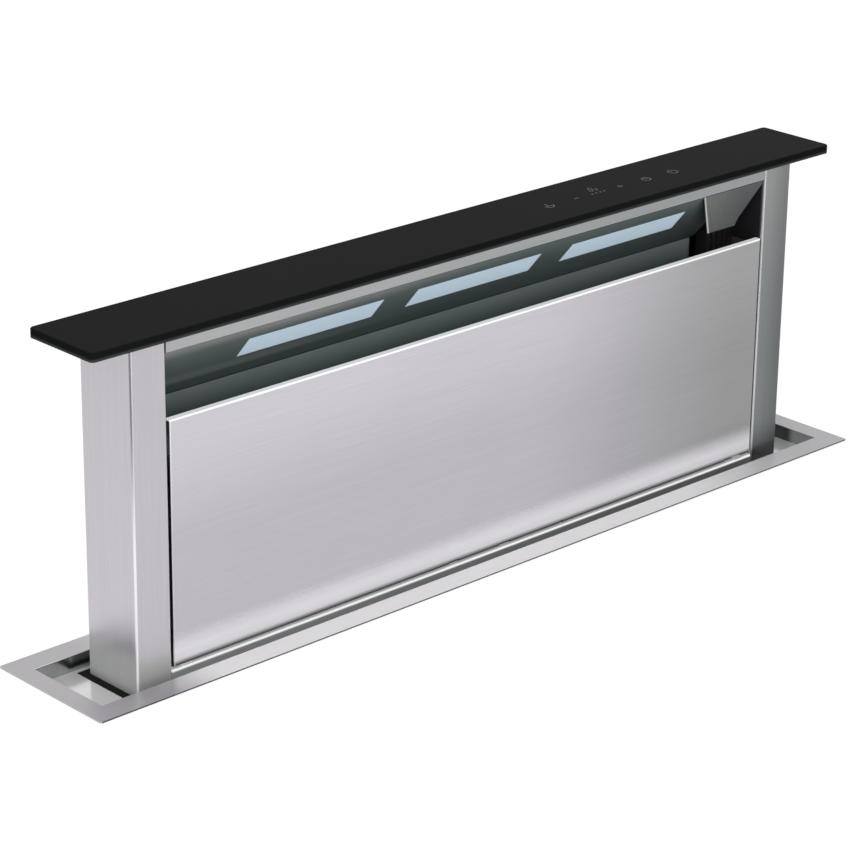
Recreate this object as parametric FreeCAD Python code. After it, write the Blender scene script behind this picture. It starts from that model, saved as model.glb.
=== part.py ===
import FreeCAD, Part
import math
import os

# Downdraft vent for a kitchen worktop, 90 cm class, column raised.
# Origin: centre of the worktop cut-out, on the worktop's top surface.
# +X runs along the vent, to the right of someone at the cooktop, +Y away from them, +Z up.

V = FreeCAD.Vector

# ---------------------------------------------------------------- driving dimensions (mm)

# worktop frame
frame_length = 900.0
frame_depth = 134.0
frame_corner_radius = 1.5
rim_thickness = 1.2
rim_bend_radius = 1.0
rim_ledge_x = 18.5
rim_ledge_y = 23.0
seal_thickness = 0.8
seal_width = 12.0
seal_margin = 2.0
trough_depth = 14.5
trough_wall = 1.2

# glass top
glass_thickness = 8.0
glass_corner_radius = 4.0
glass_edge_bevel = 0.8
glass_offset_y = -1.0
glass_gap_x = 2.5
glass_gap_y = 4.0
glass_overhang_x = 42.5
glass_overhang_y = 8.0
rise = 292.0

# lifting column
column_tail = 330.0
column_sheet = 1.2
column_gap = 5.0
post_width = 35.5
post_edge_radius = 2.5
head_height = 13.0
head_flange = 8.0
intake_height = 56.0

# front panel and the lip below it
panel_gap = 2.3
panel_bottom_z = 4.0
panel_return = 6.0
panel_edge_radius = 1.0
panel_notch_height = 2.5
panel_notches = ((0.0, 36.0), (252.5, 4.0), (317.7, 14.0), (381.0, 11.7))  # from the right end, width
lip_top_z = 2.0
lip_height = 8.0
lip_bend_radius = 3.0
lip_flange = 12.0
lip_tab_inset = 17.0
lip_tab_width = 8.0

# lamp plate, windows, inner wall
plate_sheet = 1.0
plate_top_drop = 0.7
wall_from_back = 15.3
seam_drop = 57.2
plate_end_gap = 41.0
window_count = 3
window_pitch = 184.0
window_length = 146.0
window_width = 25.9
window_from_top = 16.8
window_gap = 0.3
window_seat = 3.3
window_glass = 3.0
led_depth = 7.0
led_margin = 4.0

# cable cover and duct at the right end
cover_sheet = 1.0
cover_lean = 12.0
cover_fall = 41.0
cover_top_width = 83.0
cover_left_slant = 20.0
cover_bottom_width = 37.3
cover_round_width = 3.7
cover_round_rise = 10.6
duct_gap = 5.0
duct_depth = 12.0
duct_above_seam = 6.2
duct_sheet = 1.0
rib_count = 4
rib_width = 1.2
wing_top_drop = 1.0
wing_setback = 3.0

# control board under the glass
board_length = 190.0
board_width = 38.0
board_thickness = 1.6
board_centre_x = 175.0
board_gap = 3.0

# grease filters
filter_count = 3
filter_height = 176.0
filter_depth = 9.0
filter_border = 8.0
filter_gap = 0.6
filter_setback = 16.0
mesh_thickness = 5.0
ledge_overhang = 2.0
ledge_hook = 6.0
gutter_height = 12.0
gutter_margin = 4.0
gutter_sheet = 1.0
gutter_seat_gap = 0.3

# casing below the worktop
casing_height = 700.0
casing_sheet = 1.0
casing_inset = 14.7
foot_height = 20.0
foot_rise = 100.0
foot_sheet = 2.0
foot_width = 30.0
foot_front = 160.0
foot_back = 60.0
foot_hole_radius = 3.25
foot_hole_out = 18.0
foot_hole_pitch = 170.0
worktop_thickness = 38.0
clamp_pitch = 560.0
clamp_width = 30.0
clamp_sheet = 2.0
clamp_reach = 30.0
clamp_drop = 8.0
clamp_leg = 37.0
clamp_screw_out = 19.5
clamp_screw_radius = 2.5
clamp_screw_length = 30.0

# guides
rail_width = 29.6
rail_depth = 16.0
rail_wall = 1.5
rail_centre_y = -17.0
rail_top_gap = 16.3
rail_bottom_gap = 65.0
shoe_height = 40.0
shoe_gap = 0.3
shoe_drop_upper = 36.3
shoe_lift_lower = 5.0

# lift drive
belt_width = 10.0
belt_thickness = 1.5
belt_centre_y = 18.0
belt_from_casing = 14.0
belt_clearance = 0.3
pulley_radius = 12.0
pulley_flange_radius = 14.5
pulley_flange_thickness = 1.0
pulley_side_gap = 0.5
shaft_radius = 5.0
shaft_end_gap = 1.5
shaft_above_floor = 35.0
idler_drop = 38.3
idler_pin_overhang = 2.0
idler_collar_length = 3.0
idler_collar_radius = 7.5
idler_pin_radius = 3.0
running_clearance = 0.05
bearing_size = 26.0
bearing_width = 7.0
clamp_height = 30.0
clamp_lift = 10.0
clamp_slot_gap = 0.5
clamp_bite = 4.0
clamp_rim = 1.0
gearbox_length = 44.0
gearbox_left_x = 90.0
gearbox_wall = 9.0
motor_radius = 21.0
motor_length = 130.0
motor_nose = 8.0
motor_wall_gap = 3.2

# blower box and volute
box_half_width = 200.0
box_centre_x = 0.0
box_height = 340.0
box_lift = 20.0
box_sheet = 1.0
volute_depth = 153.0
volute_gap = 16.8
volute_wall = 2.5
volute_start_radius = 106.0
volute_end_radius = 148.0
wheel_centre_x = 36.0
wheel_above_box = 160.0
wheel_radius = 95.0
wheel_width = 105.0
wheel_back_gap = 14.0
wheel_blades = 32
blade_depth = 17.0
blade_thickness = 1.2
blade_angle = 32.0
blade_inset = 2.0
disc_thickness = 2.0
ring_width = 14.0
ring_thickness = 4.0
hub_radius = 14.0
hub_length = 26.0
wheel_shaft_radius = 4.0
eye_radius = 78.0
eye_gap = 0.5
inlet_wall = 1.5
inlet_flange = 16.0
inlet_lip = 10.0
blower_motor_radius = 48.0
blower_motor_length = 46.0
blower_motor_gap = 9.2
motor_boss_gap = 2.0
motor_boss_length = 4.0
motor_bore_end = 7.5
shaft_bore_gap = 0.5
collar_radius = 75.0
collar_wall = 1.0
collar_length = 55.0
collar_flange = 10.0
collar_flange_thickness = 1.5
collar_above_box = 238.0

# damper
damper_inset = 14.0
damper_pin_radius = 2.0
pin_end_gap = 0.03
flap_thickness = 1.2
flap_clearance = 3.0
flap_edge_gap = 0.6
knuckle_radius = 3.6
knuckle_length = 22.0
knuckle_gap = 1.0
knuckle_from_middle = 10.0
arm_bite = 1.0
spring_wire_radius = 0.5
spring_height = 12.0
spring_gap = 0.5
spring_turns = 6

# control box
control_end_gap = 33.0
control_length = 170.0
control_height = 130.0
control_depth = 48.0
control_lift = 140.0
control_wall = 2.0
circuit_margin = 10.0
standoff_radius = 3.0
standoff_height = 6.0
transformer_from_left = 40.0
transformer_length = 50.0
transformer_lift = 30.0
transformer_height = 40.0
transformer_depth = 24.4
gland_from_right = 30.0
gland_radius = 8.0
gland_seat_gap = 0.2
gland_bore_radius = 4.0
gland_inner_length = 3.0
gland_length = 14.0
gland_nut_radius = 11.0
gland_nut_height = 6.0

# fasteners
screw_head_radius = 4.0
screw_head_height = 2.4
screw_count = 5
screw_pitch = 190.0
screw_inset = 8.0

# ---------------------------------------------------------------- levels and planes

rim_top_z = seal_thickness + rim_thickness
trough_floor_z = rim_top_z - trough_depth
trough_under_z = trough_floor_z - trough_wall
opening_half_length = frame_length / 2 - rim_ledge_x
opening_half_depth = frame_depth / 2 - rim_ledge_y
trough_half_length = opening_half_length + trough_wall
trough_half_depth = opening_half_depth + trough_wall

glass_half_length = opening_half_length - glass_gap_x
glass_half_depth = opening_half_depth - glass_gap_y
glass_top_z = rim_top_z + rise
glass_under_z = glass_top_z - glass_thickness
head_under_z = glass_under_z - head_height
panel_top_z = head_under_z - intake_height
column_bottom_z = -column_tail
column_half = glass_half_length - glass_overhang_x
column_front_y = glass_overhang_y - glass_half_depth
column_back_y = glass_half_depth - glass_overhang_y
post_inner_x = column_half - post_width
panel_half = post_inner_x - panel_gap

plate_top_y = column_front_y + column_sheet
plate_top_z = head_under_z - plate_top_drop
plate_right_x = post_inner_x - plate_end_gap
wall_front_y = column_back_y - wall_from_back
seam_z = head_under_z - seam_drop
plate_drop = plate_top_z - seam_z
plate_run = wall_front_y - plate_top_y
plate_length = math.hypot(plate_drop, plate_run)
plate_angle = math.degrees(math.atan2(plate_drop, plate_run))
wall_right_x = plate_right_x - duct_gap
duct_left_x = plate_right_x + duct_gap
duct_top_z = seam_z + duct_above_seam

casing_bottom_z = -casing_height
casing_half_length = trough_half_length - casing_inset
casing_inner_x = casing_half_length - casing_sheet
casing_inner_y = trough_half_depth - casing_sheet
floor_z = casing_bottom_z - foot_height
gutter_bottom_z = lip_top_z + gutter_seat_gap
gutter_top_z = gutter_bottom_z + gutter_height
filter_front_y = column_front_y + filter_setback
filter_back_y = filter_front_y + filter_depth
filter_bottom_z = gutter_bottom_z + gutter_sheet
filter_top_z = filter_bottom_z + filter_height

rail_outer_x = casing_inner_x
rail_inner_x = rail_outer_x - rail_depth
rail_top_z = trough_under_z - rail_top_gap
rail_bottom_z = casing_bottom_z + rail_bottom_gap
belt_centre_x = casing_inner_x - belt_from_casing
shaft_z = casing_bottom_z + shaft_above_floor
idler_z = trough_under_z - idler_drop
motor_y = motor_wall_gap + motor_radius - casing_inner_y

volute_back_y = -trough_half_depth - volute_gap
volute_front_y = volute_back_y - volute_depth
volute_split_y = (volute_front_y + volute_back_y) / 2
box_front_y = volute_front_y - blower_motor_length - blower_motor_gap
box_bottom_z = casing_bottom_z + box_lift
box_top_z = box_bottom_z + box_height
box_left_x = box_centre_x - box_half_width
box_right_x = box_centre_x + box_half_width
wheel_centre_z = box_bottom_z + wheel_above_box
wheel_back_y = volute_back_y - volute_wall - wheel_back_gap
wheel_front_y = wheel_back_y - wheel_width
collar_centre_y = volute_split_y
collar_centre_z = box_bottom_z + collar_above_box
damper_x = box_left_x - damper_inset
damper_reach = collar_radius - collar_wall
control_front_y = -trough_half_depth - control_depth
control_bottom_z = casing_bottom_z + control_lift
control_top_z = control_bottom_z + control_height
control_right_x = casing_half_length - control_end_gap
control_x = control_right_x - control_length
gland_x = control_right_x - gland_from_right
gland_y = control_front_y + control_depth / 2

parts = {}


# ---------------------------------------------------------------- shape helpers

def box(x0, x1, y0, y1, z0, z1):
    """Block between two corners."""
    low = V(min(x0, x1), min(y0, y1), min(z0, z1))
    return Part.makeBox(abs(x1 - x0), abs(y1 - y0), abs(z1 - z0), low)


def rod(centre, axis, radius, length):
    """Cylinder that starts at centre and runs along axis."""
    return Part.makeCylinder(radius, length, V(*centre), V(*axis))


def tube(centre, axis, outer, inner, length):
    """Cylinder with a through bore."""
    return rod(centre, axis, outer, length).cut(rod(centre, axis, inner, length))


def mirror_x(shape):
    """Copy on the other side of the YZ plane."""
    return shape.mirror(V(0, 0, 0), V(1, 0, 0))


def both_ends(shape):
    """A piece and its mirror image, as two separate solids."""
    return Part.makeCompound([shape, mirror_x(shape)])


def group(shapes):
    """Equal pieces kept as separate solids in one node."""
    return Part.makeCompound(list(shapes))


def plate_from_yz(points, x0, x1):
    """Prism along X whose section is a polygon in the YZ plane."""
    corners = [V(x0, y, z) for y, z in points]
    wire = Part.makePolygon(corners + corners[:1])
    return Part.Face(wire).extrude(V(x1 - x0, 0, 0))


def edges_along(shape, axis, near=None):
    """Straight edges along one axis, chosen by a test on their middle point."""
    found = []
    for edge in shape.Edges:
        if len(edge.Vertexes) != 2:
            continue
        run = edge.Vertexes[1].Point.sub(edge.Vertexes[0].Point)
        if run.Length < 1e-6 or abs(abs(run.normalize().dot(V(*axis))) - 1) > 1e-6:
            continue
        if near is None or near(edge.CenterOfMass):
            found.append(edge)
    return found


def spread(count, span):
    """Positions of count things, evenly spaced and centred on zero."""
    return [span * (i - (count - 1) / 2) for i in range(count)]


# ---------------------------------------------------------------- worktop frame

def make_worktop_frame():
    """Flat rim that lies on the worktop, rounded where it turns down into the trough."""
    rim = box(-frame_length / 2, frame_length / 2, -frame_depth / 2, frame_depth / 2,
              seal_thickness, rim_top_z)
    rim = rim.makeFillet(frame_corner_radius, edges_along(rim, (0, 0, 1)))
    rim = rim.cut(trough_block(0, seal_thickness, rim_top_z))
    inner_edges = [e for e in rim.Edges
                   if abs(e.CenterOfMass.z - rim_top_z) < 1e-6
                   and abs(e.CenterOfMass.x) < opening_half_length + 1e-6
                   and abs(e.CenterOfMass.y) < opening_half_depth + 1e-6]
    return rim.makeFillet(rim_bend_radius, inner_edges)


def trough_block(grow, low, high):
    """The trough's inside, grown by grow on its four sides, between two levels."""
    x = opening_half_length + grow
    y = opening_half_depth + grow
    return box(-x, x, -y, y, low, high)


def make_trough_walls():
    outer = trough_block(trough_wall, trough_under_z, seal_thickness)
    return outer.cut(trough_block(0, trough_under_z, seal_thickness))


def make_trough_floor():
    """Plate with the slot that the column rises through."""
    x = column_half + column_gap
    y = column_back_y + column_gap
    plate = trough_block(0, trough_under_z, trough_floor_z)
    return plate.cut(box(-x, x, -y, y, trough_under_z, trough_floor_z))


def make_frame_seal():
    x = frame_length / 2 - seal_margin
    y = frame_depth / 2 - seal_margin
    outer = box(-x, x, -y, y, 0, seal_thickness)
    inner = box(seal_width - x, x - seal_width, seal_width - y, y - seal_width, 0, seal_thickness)
    return outer.cut(inner)


# ---------------------------------------------------------------- column

def make_glass():
    slab = box(-glass_half_length, glass_half_length,
               glass_offset_y - glass_half_depth, glass_offset_y + glass_half_depth,
               glass_under_z, glass_top_z)
    slab = slab.makeFillet(glass_corner_radius, edges_along(slab, (0, 0, 1)))
    rim_edges = [e for f in slab.Faces if abs(f.CenterOfMass.z - glass_top_z) < 1e-6 for e in f.Edges]
    return slab.makeChamfer(glass_edge_bevel, rim_edges)


def make_right_post():
    outer = box(post_inner_x, column_half, column_front_y, column_back_y, column_bottom_z, glass_under_z)
    outer = outer.makeFillet(post_edge_radius, edges_along(outer, (0, 0, 1)))
    inner = box(post_inner_x + column_sheet, column_half - column_sheet,
                column_front_y + column_sheet, column_back_y - column_sheet,
                column_bottom_z, glass_under_z)
    inner = inner.makeFillet(post_edge_radius - column_sheet, edges_along(inner, (0, 0, 1)))
    return outer.cut(inner)


def make_glass_carrier():
    tray = box(-post_inner_x, post_inner_x, plate_top_y, column_back_y - column_sheet,
               glass_under_z - column_sheet, glass_under_z)
    board_window = box(board_centre_x - board_length / 2 - board_gap,
                       board_centre_x + board_length / 2 + board_gap,
                       -board_width / 2 - board_gap, board_width / 2 + board_gap,
                       glass_under_z - column_sheet, glass_under_z)
    return tray.cut(board_window)


def make_control_board():
    return box(board_centre_x - board_length / 2, board_centre_x + board_length / 2,
               -board_width / 2, board_width / 2, glass_under_z - board_thickness, glass_under_z)


def make_head_bar():
    web = box(-post_inner_x, post_inner_x, column_front_y, plate_top_y, head_under_z, glass_under_z)
    flange = box(-post_inner_x, post_inner_x, column_front_y, column_front_y + head_flange,
                 head_under_z, head_under_z + column_sheet)
    bar = web.fuse(flange).removeSplitter()
    corner = edges_along(bar, (1, 0, 0), lambda p: abs(p.y - column_front_y) < 1e-6
                         and abs(p.z - head_under_z) < 1e-6)
    return bar.makeFillet(panel_edge_radius, corner)


def make_rear_panel():
    return box(-post_inner_x, post_inner_x, column_back_y - column_sheet, column_back_y,
               column_bottom_z, glass_under_z)


def make_lower_skin():
    top = lip_top_z - lip_height
    return box(-post_inner_x, post_inner_x, plate_top_y, plate_top_y + column_sheet, column_bottom_z, top)


def lip_block(front_y, top_z, bend_radius):
    """Block as deep as the lip, with its upper front edge rounded."""
    block = box(-post_inner_x, post_inner_x, front_y, plate_top_y + lip_flange,
                lip_top_z - lip_height, top_z)
    bend = edges_along(block, (1, 0, 0), lambda p: abs(p.y - front_y) < 1e-6
                       and abs(p.z - top_z) < 1e-6)
    return block.makeFillet(bend_radius, bend)


def make_bottom_rail():
    """Bent lip below the panel, with a tab up to the panel near each end."""
    outer = lip_block(column_front_y, lip_top_z, lip_bend_radius)
    inner = lip_block(plate_top_y, lip_top_z - column_sheet, lip_bend_radius - column_sheet)
    rail = outer.cut(inner)
    tab_x = post_inner_x - lip_tab_inset
    for x in (-tab_x, tab_x):
        rail = rail.fuse(box(x - lip_tab_width / 2, x + lip_tab_width / 2,
                             plate_top_y, column_front_y + panel_return, lip_top_z - column_sheet,
                             panel_bottom_z))
    return rail.removeSplitter()


def make_front_panel():
    face = box(-panel_half, panel_half, column_front_y, plate_top_y, panel_bottom_z, panel_top_z)
    top_return = box(-panel_half, panel_half, column_front_y, column_front_y + panel_return,
                     panel_top_z - column_sheet, panel_top_z)
    bottom_return = box(-panel_half, panel_half, column_front_y, column_front_y + panel_return,
                        panel_bottom_z, panel_bottom_z + column_sheet)
    panel = face.fuse([top_return, bottom_return]).removeSplitter()
    front_edges = []
    for axis in ((1, 0, 0), (0, 0, 1)):
        front_edges += edges_along(panel, axis, lambda p: abs(p.y - column_front_y) < 1e-6)
    panel = panel.makeFillet(panel_edge_radius, front_edges)
    for from_right, width in panel_notches:
        right = panel_half - from_right
        notch = box(right - width, right, column_front_y, column_front_y + panel_return,
                    panel_bottom_z, panel_bottom_z + panel_notch_height)
        panel = panel.cut(notch)
    return panel


def sloped(along0, along1, depth0, depth1, x0, x1):
    """Block in the lamp plate's own directions: along the slope from its top, and depth behind it."""
    slope_y = math.cos(math.radians(plate_angle))
    slope_z = -math.sin(math.radians(plate_angle))
    points = []
    for along, depth in ((along0, depth0), (along1, depth0), (along1, depth1), (along0, depth1)):
        points.append((plate_top_y + along * slope_y - depth * slope_z,
                       plate_top_z + along * slope_z + depth * slope_y))
    return plate_from_yz(points, x0, x1)


def window_block(centre_x, grow, depth0, depth1):
    """A lamp window's outline, grown on every side, between two depths behind the plate's face."""
    return sloped(window_from_top - grow, window_from_top + window_width + grow, depth0, depth1,
                  centre_x - window_length / 2 - grow, centre_x + window_length / 2 + grow)


def make_lamp_plate():
    plate = sloped(0, plate_length, 0, plate_sheet, -post_inner_x, plate_right_x)
    for x in spread(window_count, window_pitch):
        plate = plate.cut(window_block(x, 0, 0, plate_sheet))
    return plate


def make_lamp_windows():
    """Three equal panes, each seated behind its cut-out and flush with the plate."""
    panes = []
    for x in spread(window_count, window_pitch):
        front = window_block(x, -window_gap, 0, plate_sheet)
        back = window_block(x, window_seat, plate_sheet, plate_sheet + window_glass)
        panes.append(front.fuse(back).removeSplitter())
    return group(panes)


def make_led_modules():
    depth = plate_sheet + window_glass
    return group(window_block(x, -led_margin, depth, depth + led_depth)
                 for x in spread(window_count, window_pitch))


def make_inner_wall():
    return box(-post_inner_x, wall_right_x, wall_front_y, wall_front_y + plate_sheet,
               column_bottom_z, seam_z)


def make_cable_duct():
    front = wall_front_y - duct_depth
    outer = box(duct_left_x, post_inner_x, front, wall_front_y + plate_sheet, column_bottom_z, duct_top_z)
    inner = box(duct_left_x + duct_sheet, post_inner_x - duct_sheet, front + duct_sheet, wall_front_y,
                column_bottom_z, duct_top_z)
    duct = outer.cut(inner)
    step = (post_inner_x - duct_left_x) / (rib_count + 1)
    for i in range(rib_count):
        x = duct_left_x + step * (i + 1)
        duct = duct.fuse(box(x - rib_width / 2, x + rib_width / 2, front - rib_width, front,
                             gutter_top_z, duct_top_z))
    wing = box(post_inner_x - duct_sheet, post_inner_x,
               column_front_y + wing_setback, wall_front_y + plate_sheet,
               panel_top_z - panel_return, head_under_z - wing_top_drop)
    return duct.fuse(wing).removeSplitter()


def make_cable_cover():
    """Tapered sheet that hangs from the head bar and hides the cables at the right end."""
    left_x = post_inner_x - cover_top_width
    low_left_x = left_x + cover_left_slant
    low_right_x = low_left_x + cover_bottom_width

    def on_cover(x, fall):
        return V(x, column_front_y + cover_lean * fall / cover_fall, head_under_z - fall)

    top_left = on_cover(left_x, 0)
    top_right = on_cover(post_inner_x - duct_sheet, 0)
    right_mid = on_cover(low_right_x + cover_round_width, cover_fall - cover_round_rise)
    bottom_right = on_cover(low_right_x, cover_fall)
    bottom_left = on_cover(low_left_x, cover_fall)
    bend = on_cover(low_right_x + cover_round_width * 0.27, cover_fall - cover_round_rise / 2)
    edges = [Part.LineSegment(top_left, top_right).toShape(),
             Part.LineSegment(top_right, right_mid).toShape(),
             Part.Arc(right_mid, bend, bottom_right).toShape(),
             Part.LineSegment(bottom_right, bottom_left).toShape(),
             Part.LineSegment(bottom_left, top_left).toShape()]
    return Part.Face(Part.Wire(edges)).extrude(V(0, cover_sheet, 0))


def filter_spans():
    """Left and right edge of each grease filter."""
    pitch = 2 * panel_half / filter_count
    return [(x - pitch / 2 + filter_gap, x + pitch / 2 - filter_gap) for x in spread(filter_count, pitch)]


def make_filter_frames():
    frames = []
    for left, right in filter_spans():
        outer = box(left, right, filter_front_y, filter_back_y, filter_bottom_z, filter_top_z)
        inner = box(left + filter_border, right - filter_border, filter_front_y, filter_back_y,
                    filter_bottom_z + filter_border, filter_top_z - filter_border)
        frames.append(outer.cut(inner))
    return group(frames)


def make_filter_meshes():
    middle = (filter_front_y + filter_back_y) / 2
    return group(box(left + filter_border, right - filter_border,
                     middle - mesh_thickness / 2, middle + mesh_thickness / 2,
                     filter_bottom_z + filter_border, filter_top_z - filter_border)
                 for left, right in filter_spans())


def make_filter_ledge():
    top = filter_top_z + filter_gap
    front = filter_front_y - ledge_overhang
    shelf = box(-post_inner_x, wall_right_x, front, wall_front_y, top, top + plate_sheet)
    hook = box(-post_inner_x, wall_right_x, front, front + plate_sheet, top - ledge_hook, top)
    return shelf.fuse(hook).removeSplitter()


def make_grease_gutter():
    front = filter_front_y - gutter_margin
    back = filter_back_y + gutter_margin
    base = box(-panel_half, panel_half, front, back, gutter_bottom_z, gutter_bottom_z + gutter_sheet)
    front_wall = box(-panel_half, panel_half, front, front + gutter_sheet, gutter_bottom_z, gutter_top_z)
    back_wall = box(-panel_half, panel_half, back - gutter_sheet, back, gutter_bottom_z, gutter_top_z)
    return base.fuse([front_wall, back_wall]).removeSplitter()


# ---------------------------------------------------------------- guides

def make_guide_rail():
    y0 = rail_centre_y - rail_width / 2
    y1 = rail_centre_y + rail_width / 2
    outer = box(rail_inner_x, rail_outer_x, y0, y1, rail_bottom_z, rail_top_z)
    inner = box(rail_inner_x, rail_outer_x - rail_wall, y0 + rail_wall, y1 - rail_wall,
                rail_bottom_z, rail_top_z)
    return outer.cut(inner)


def make_glide_shoes():
    half = rail_width / 2 - rail_wall - shoe_gap
    tops = (trough_under_z - shoe_drop_upper, column_bottom_z + shoe_lift_lower + shoe_height)
    shoes = [box(column_half, rail_outer_x - rail_wall - shoe_gap,
                 rail_centre_y - half, rail_centre_y + half, top - shoe_height, top) for top in tops]
    return group(shoes + [mirror_x(s) for s in shoes])


# ---------------------------------------------------------------- lift drive

def pulley_section(centre_z, bore):
    """Toothed pulley with two flanges, its axis along X."""
    half = belt_width / 2 + pulley_side_gap
    hub_radius_out = pulley_radius - belt_thickness / 2 - belt_clearance
    x0 = belt_centre_x - half
    body = rod((x0, belt_centre_y, centre_z), (1, 0, 0), hub_radius_out, 2 * half)
    for x in (x0 - pulley_flange_thickness, x0 + 2 * half):
        body = body.fuse(rod((x, belt_centre_y, centre_z), (1, 0, 0),
                             pulley_flange_radius, pulley_flange_thickness))
    length = 2 * half + 2 * pulley_flange_thickness
    hole = rod((x0 - pulley_flange_thickness, belt_centre_y, centre_z), (1, 0, 0), bore, length)
    return body.cut(hole).removeSplitter()


def make_belt():
    x0 = belt_centre_x - belt_width / 2

    def loop(radius):
        low = rod((x0, belt_centre_y, shaft_z), (1, 0, 0), radius, belt_width)
        high = rod((x0, belt_centre_y, idler_z), (1, 0, 0), radius, belt_width)
        middle = box(x0, x0 + belt_width, belt_centre_y - radius, belt_centre_y + radius, shaft_z, idler_z)
        return low.fuse([high, middle]).removeSplitter()

    return loop(pulley_radius + belt_thickness / 2).cut(loop(pulley_radius - belt_thickness / 2))


def make_cross_shaft():
    half = casing_inner_x - shaft_end_gap
    return rod((-half, belt_centre_y, shaft_z), (1, 0, 0), shaft_radius, 2 * half)


def make_bearing():
    half = bearing_size / 2
    block = box(casing_inner_x - bearing_width, casing_inner_x, belt_centre_y - half, belt_centre_y + half,
                shaft_z - half, shaft_z + half)
    hole = rod((casing_inner_x - bearing_width, belt_centre_y, shaft_z), (1, 0, 0),
               shaft_radius + running_clearance, bearing_width)
    return block.cut(hole)


def make_idler_pin():
    left = belt_centre_x - belt_width / 2 - pulley_side_gap - pulley_flange_thickness - idler_pin_overhang
    pin = rod((left, belt_centre_y, idler_z), (1, 0, 0), idler_pin_radius, casing_inner_x - left)
    collar = rod((casing_inner_x - idler_collar_length, belt_centre_y, idler_z), (1, 0, 0),
                 idler_collar_radius, idler_collar_length)
    return pin.fuse(collar).removeSplitter()


def make_belt_clamp():
    """Block on the post that grips one strand of the belt in a slot."""
    strand_y = belt_centre_y - pulley_radius
    low = column_bottom_z + clamp_lift
    top = low + clamp_height
    block = box(column_half, belt_centre_x + belt_width / 2 + clamp_rim,
                strand_y - clamp_bite - clamp_rim, strand_y + clamp_bite, low, top)
    half_slot = belt_thickness / 2 + clamp_slot_gap
    slot = box(belt_centre_x - belt_width / 2 - clamp_slot_gap, belt_centre_x + belt_width,
               strand_y - half_slot, strand_y + half_slot, low, top)
    return block.cut(slot)


def make_gearbox():
    block = box(gearbox_left_x, gearbox_left_x + gearbox_length,
                motor_y - motor_radius, belt_centre_y + shaft_radius + gearbox_wall,
                casing_bottom_z + casing_sheet, shaft_z + motor_radius)
    hole = rod((gearbox_left_x, belt_centre_y, shaft_z), (1, 0, 0),
               shaft_radius + running_clearance, gearbox_length)
    return block.cut(hole)


def make_lift_motor():
    x = gearbox_left_x + gearbox_length
    body = rod((x, motor_y, shaft_z), (1, 0, 0), motor_radius, motor_length)
    nose = rod((x + motor_length, motor_y, shaft_z), (1, 0, 0), motor_radius / 2, motor_nose)
    return body.fuse(nose).removeSplitter()


# ---------------------------------------------------------------- casing

def make_casing_front():
    sheet = box(-casing_half_length, casing_half_length, -trough_half_depth, -casing_inner_y,
                casing_bottom_z, trough_under_z)
    hole = rod((wheel_centre_x, -trough_half_depth, wheel_centre_z), (0, 1, 0),
               eye_radius + inlet_flange / 2, casing_sheet)
    return sheet.cut(hole)


def make_casing_back():
    return box(-casing_half_length, casing_half_length, casing_inner_y, trough_half_depth,
               casing_bottom_z, trough_under_z)


def make_casing_side():
    return box(casing_inner_x, casing_half_length, -casing_inner_y, casing_inner_y,
               casing_bottom_z, trough_under_z)


def make_casing_floor():
    return box(-casing_inner_x, casing_inner_x, -casing_inner_y, casing_inner_y,
               casing_bottom_z, casing_bottom_z + casing_sheet)


def make_foot():
    """Bracket on the casing's side, with a sole that can be screwed to the cabinet floor."""
    riser = box(casing_half_length, casing_half_length + foot_sheet, -casing_inner_y, casing_inner_y,
                floor_z, casing_bottom_z + foot_rise)
    sole = box(casing_half_length, casing_half_length + foot_width, -foot_front, foot_back,
               floor_z, floor_z + foot_sheet)
    foot = riser.fuse(sole).removeSplitter()
    for y in foot_hole_places():
        foot = foot.cut(rod((casing_half_length + foot_hole_out, y, floor_z), (0, 0, 1),
                            foot_hole_radius, foot_sheet))
    return foot


def foot_hole_places():
    middle = (foot_back - foot_front) / 2
    return [middle - foot_hole_pitch / 2, middle + foot_hole_pitch / 2]


def make_worktop_clamps():
    """Angles on the casing's long sides, each with a screw that presses under the worktop."""
    top = -worktop_thickness
    solids = []
    for x in spread(2, clamp_pitch):
        for side in (-1, 1):
            wall = side * trough_half_depth
            y = wall + side * clamp_screw_out
            plate_z = top - clamp_drop
            up = box(x - clamp_width / 2, x + clamp_width / 2, wall, wall + side * clamp_sheet,
                     plate_z - clamp_leg, plate_z)
            out = box(x - clamp_width / 2, x + clamp_width / 2, wall, wall + side * clamp_reach,
                      plate_z - clamp_sheet, plate_z)
            hole = rod((x, y, plate_z - clamp_sheet), (0, 0, 1),
                       clamp_screw_radius + running_clearance, clamp_sheet)
            solids.append(up.fuse(out).removeSplitter().cut(hole))
            stem = rod((x, y, top - clamp_screw_length), (0, 0, 1), clamp_screw_radius, clamp_screw_length)
            head = rod((x, y, top - clamp_screw_length - clamp_screw_radius), (0, 0, 1),
                       2 * clamp_screw_radius, clamp_screw_radius)
            solids.append(stem.fuse(head).removeSplitter())
    return group(solids)


def screw_head(x, y, z, outward):
    """Pan head seated on a sheet; outward is +1 or -1 along Y."""
    return rod((x, y, z), (0, outward, 0), screw_head_radius, screw_head_height)


def make_casing_screws():
    """Heads along the casing's long edges and round the blower cover."""
    screws = []
    for x in spread(screw_count, screw_pitch):
        for z in (trough_under_z - screw_inset, casing_bottom_z + screw_inset):
            screws.append(screw_head(x, trough_half_depth, z, 1))
            screws.append(screw_head(x, -trough_half_depth, z, -1))
    levels = (box_bottom_z + screw_inset, box_top_z - screw_inset)
    for x in spread(3, box_half_width - 2 * screw_inset):
        screws.extend(screw_head(box_centre_x + x, box_front_y, z, -1) for z in levels)
    return group(screws)


# ---------------------------------------------------------------- blower

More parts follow.
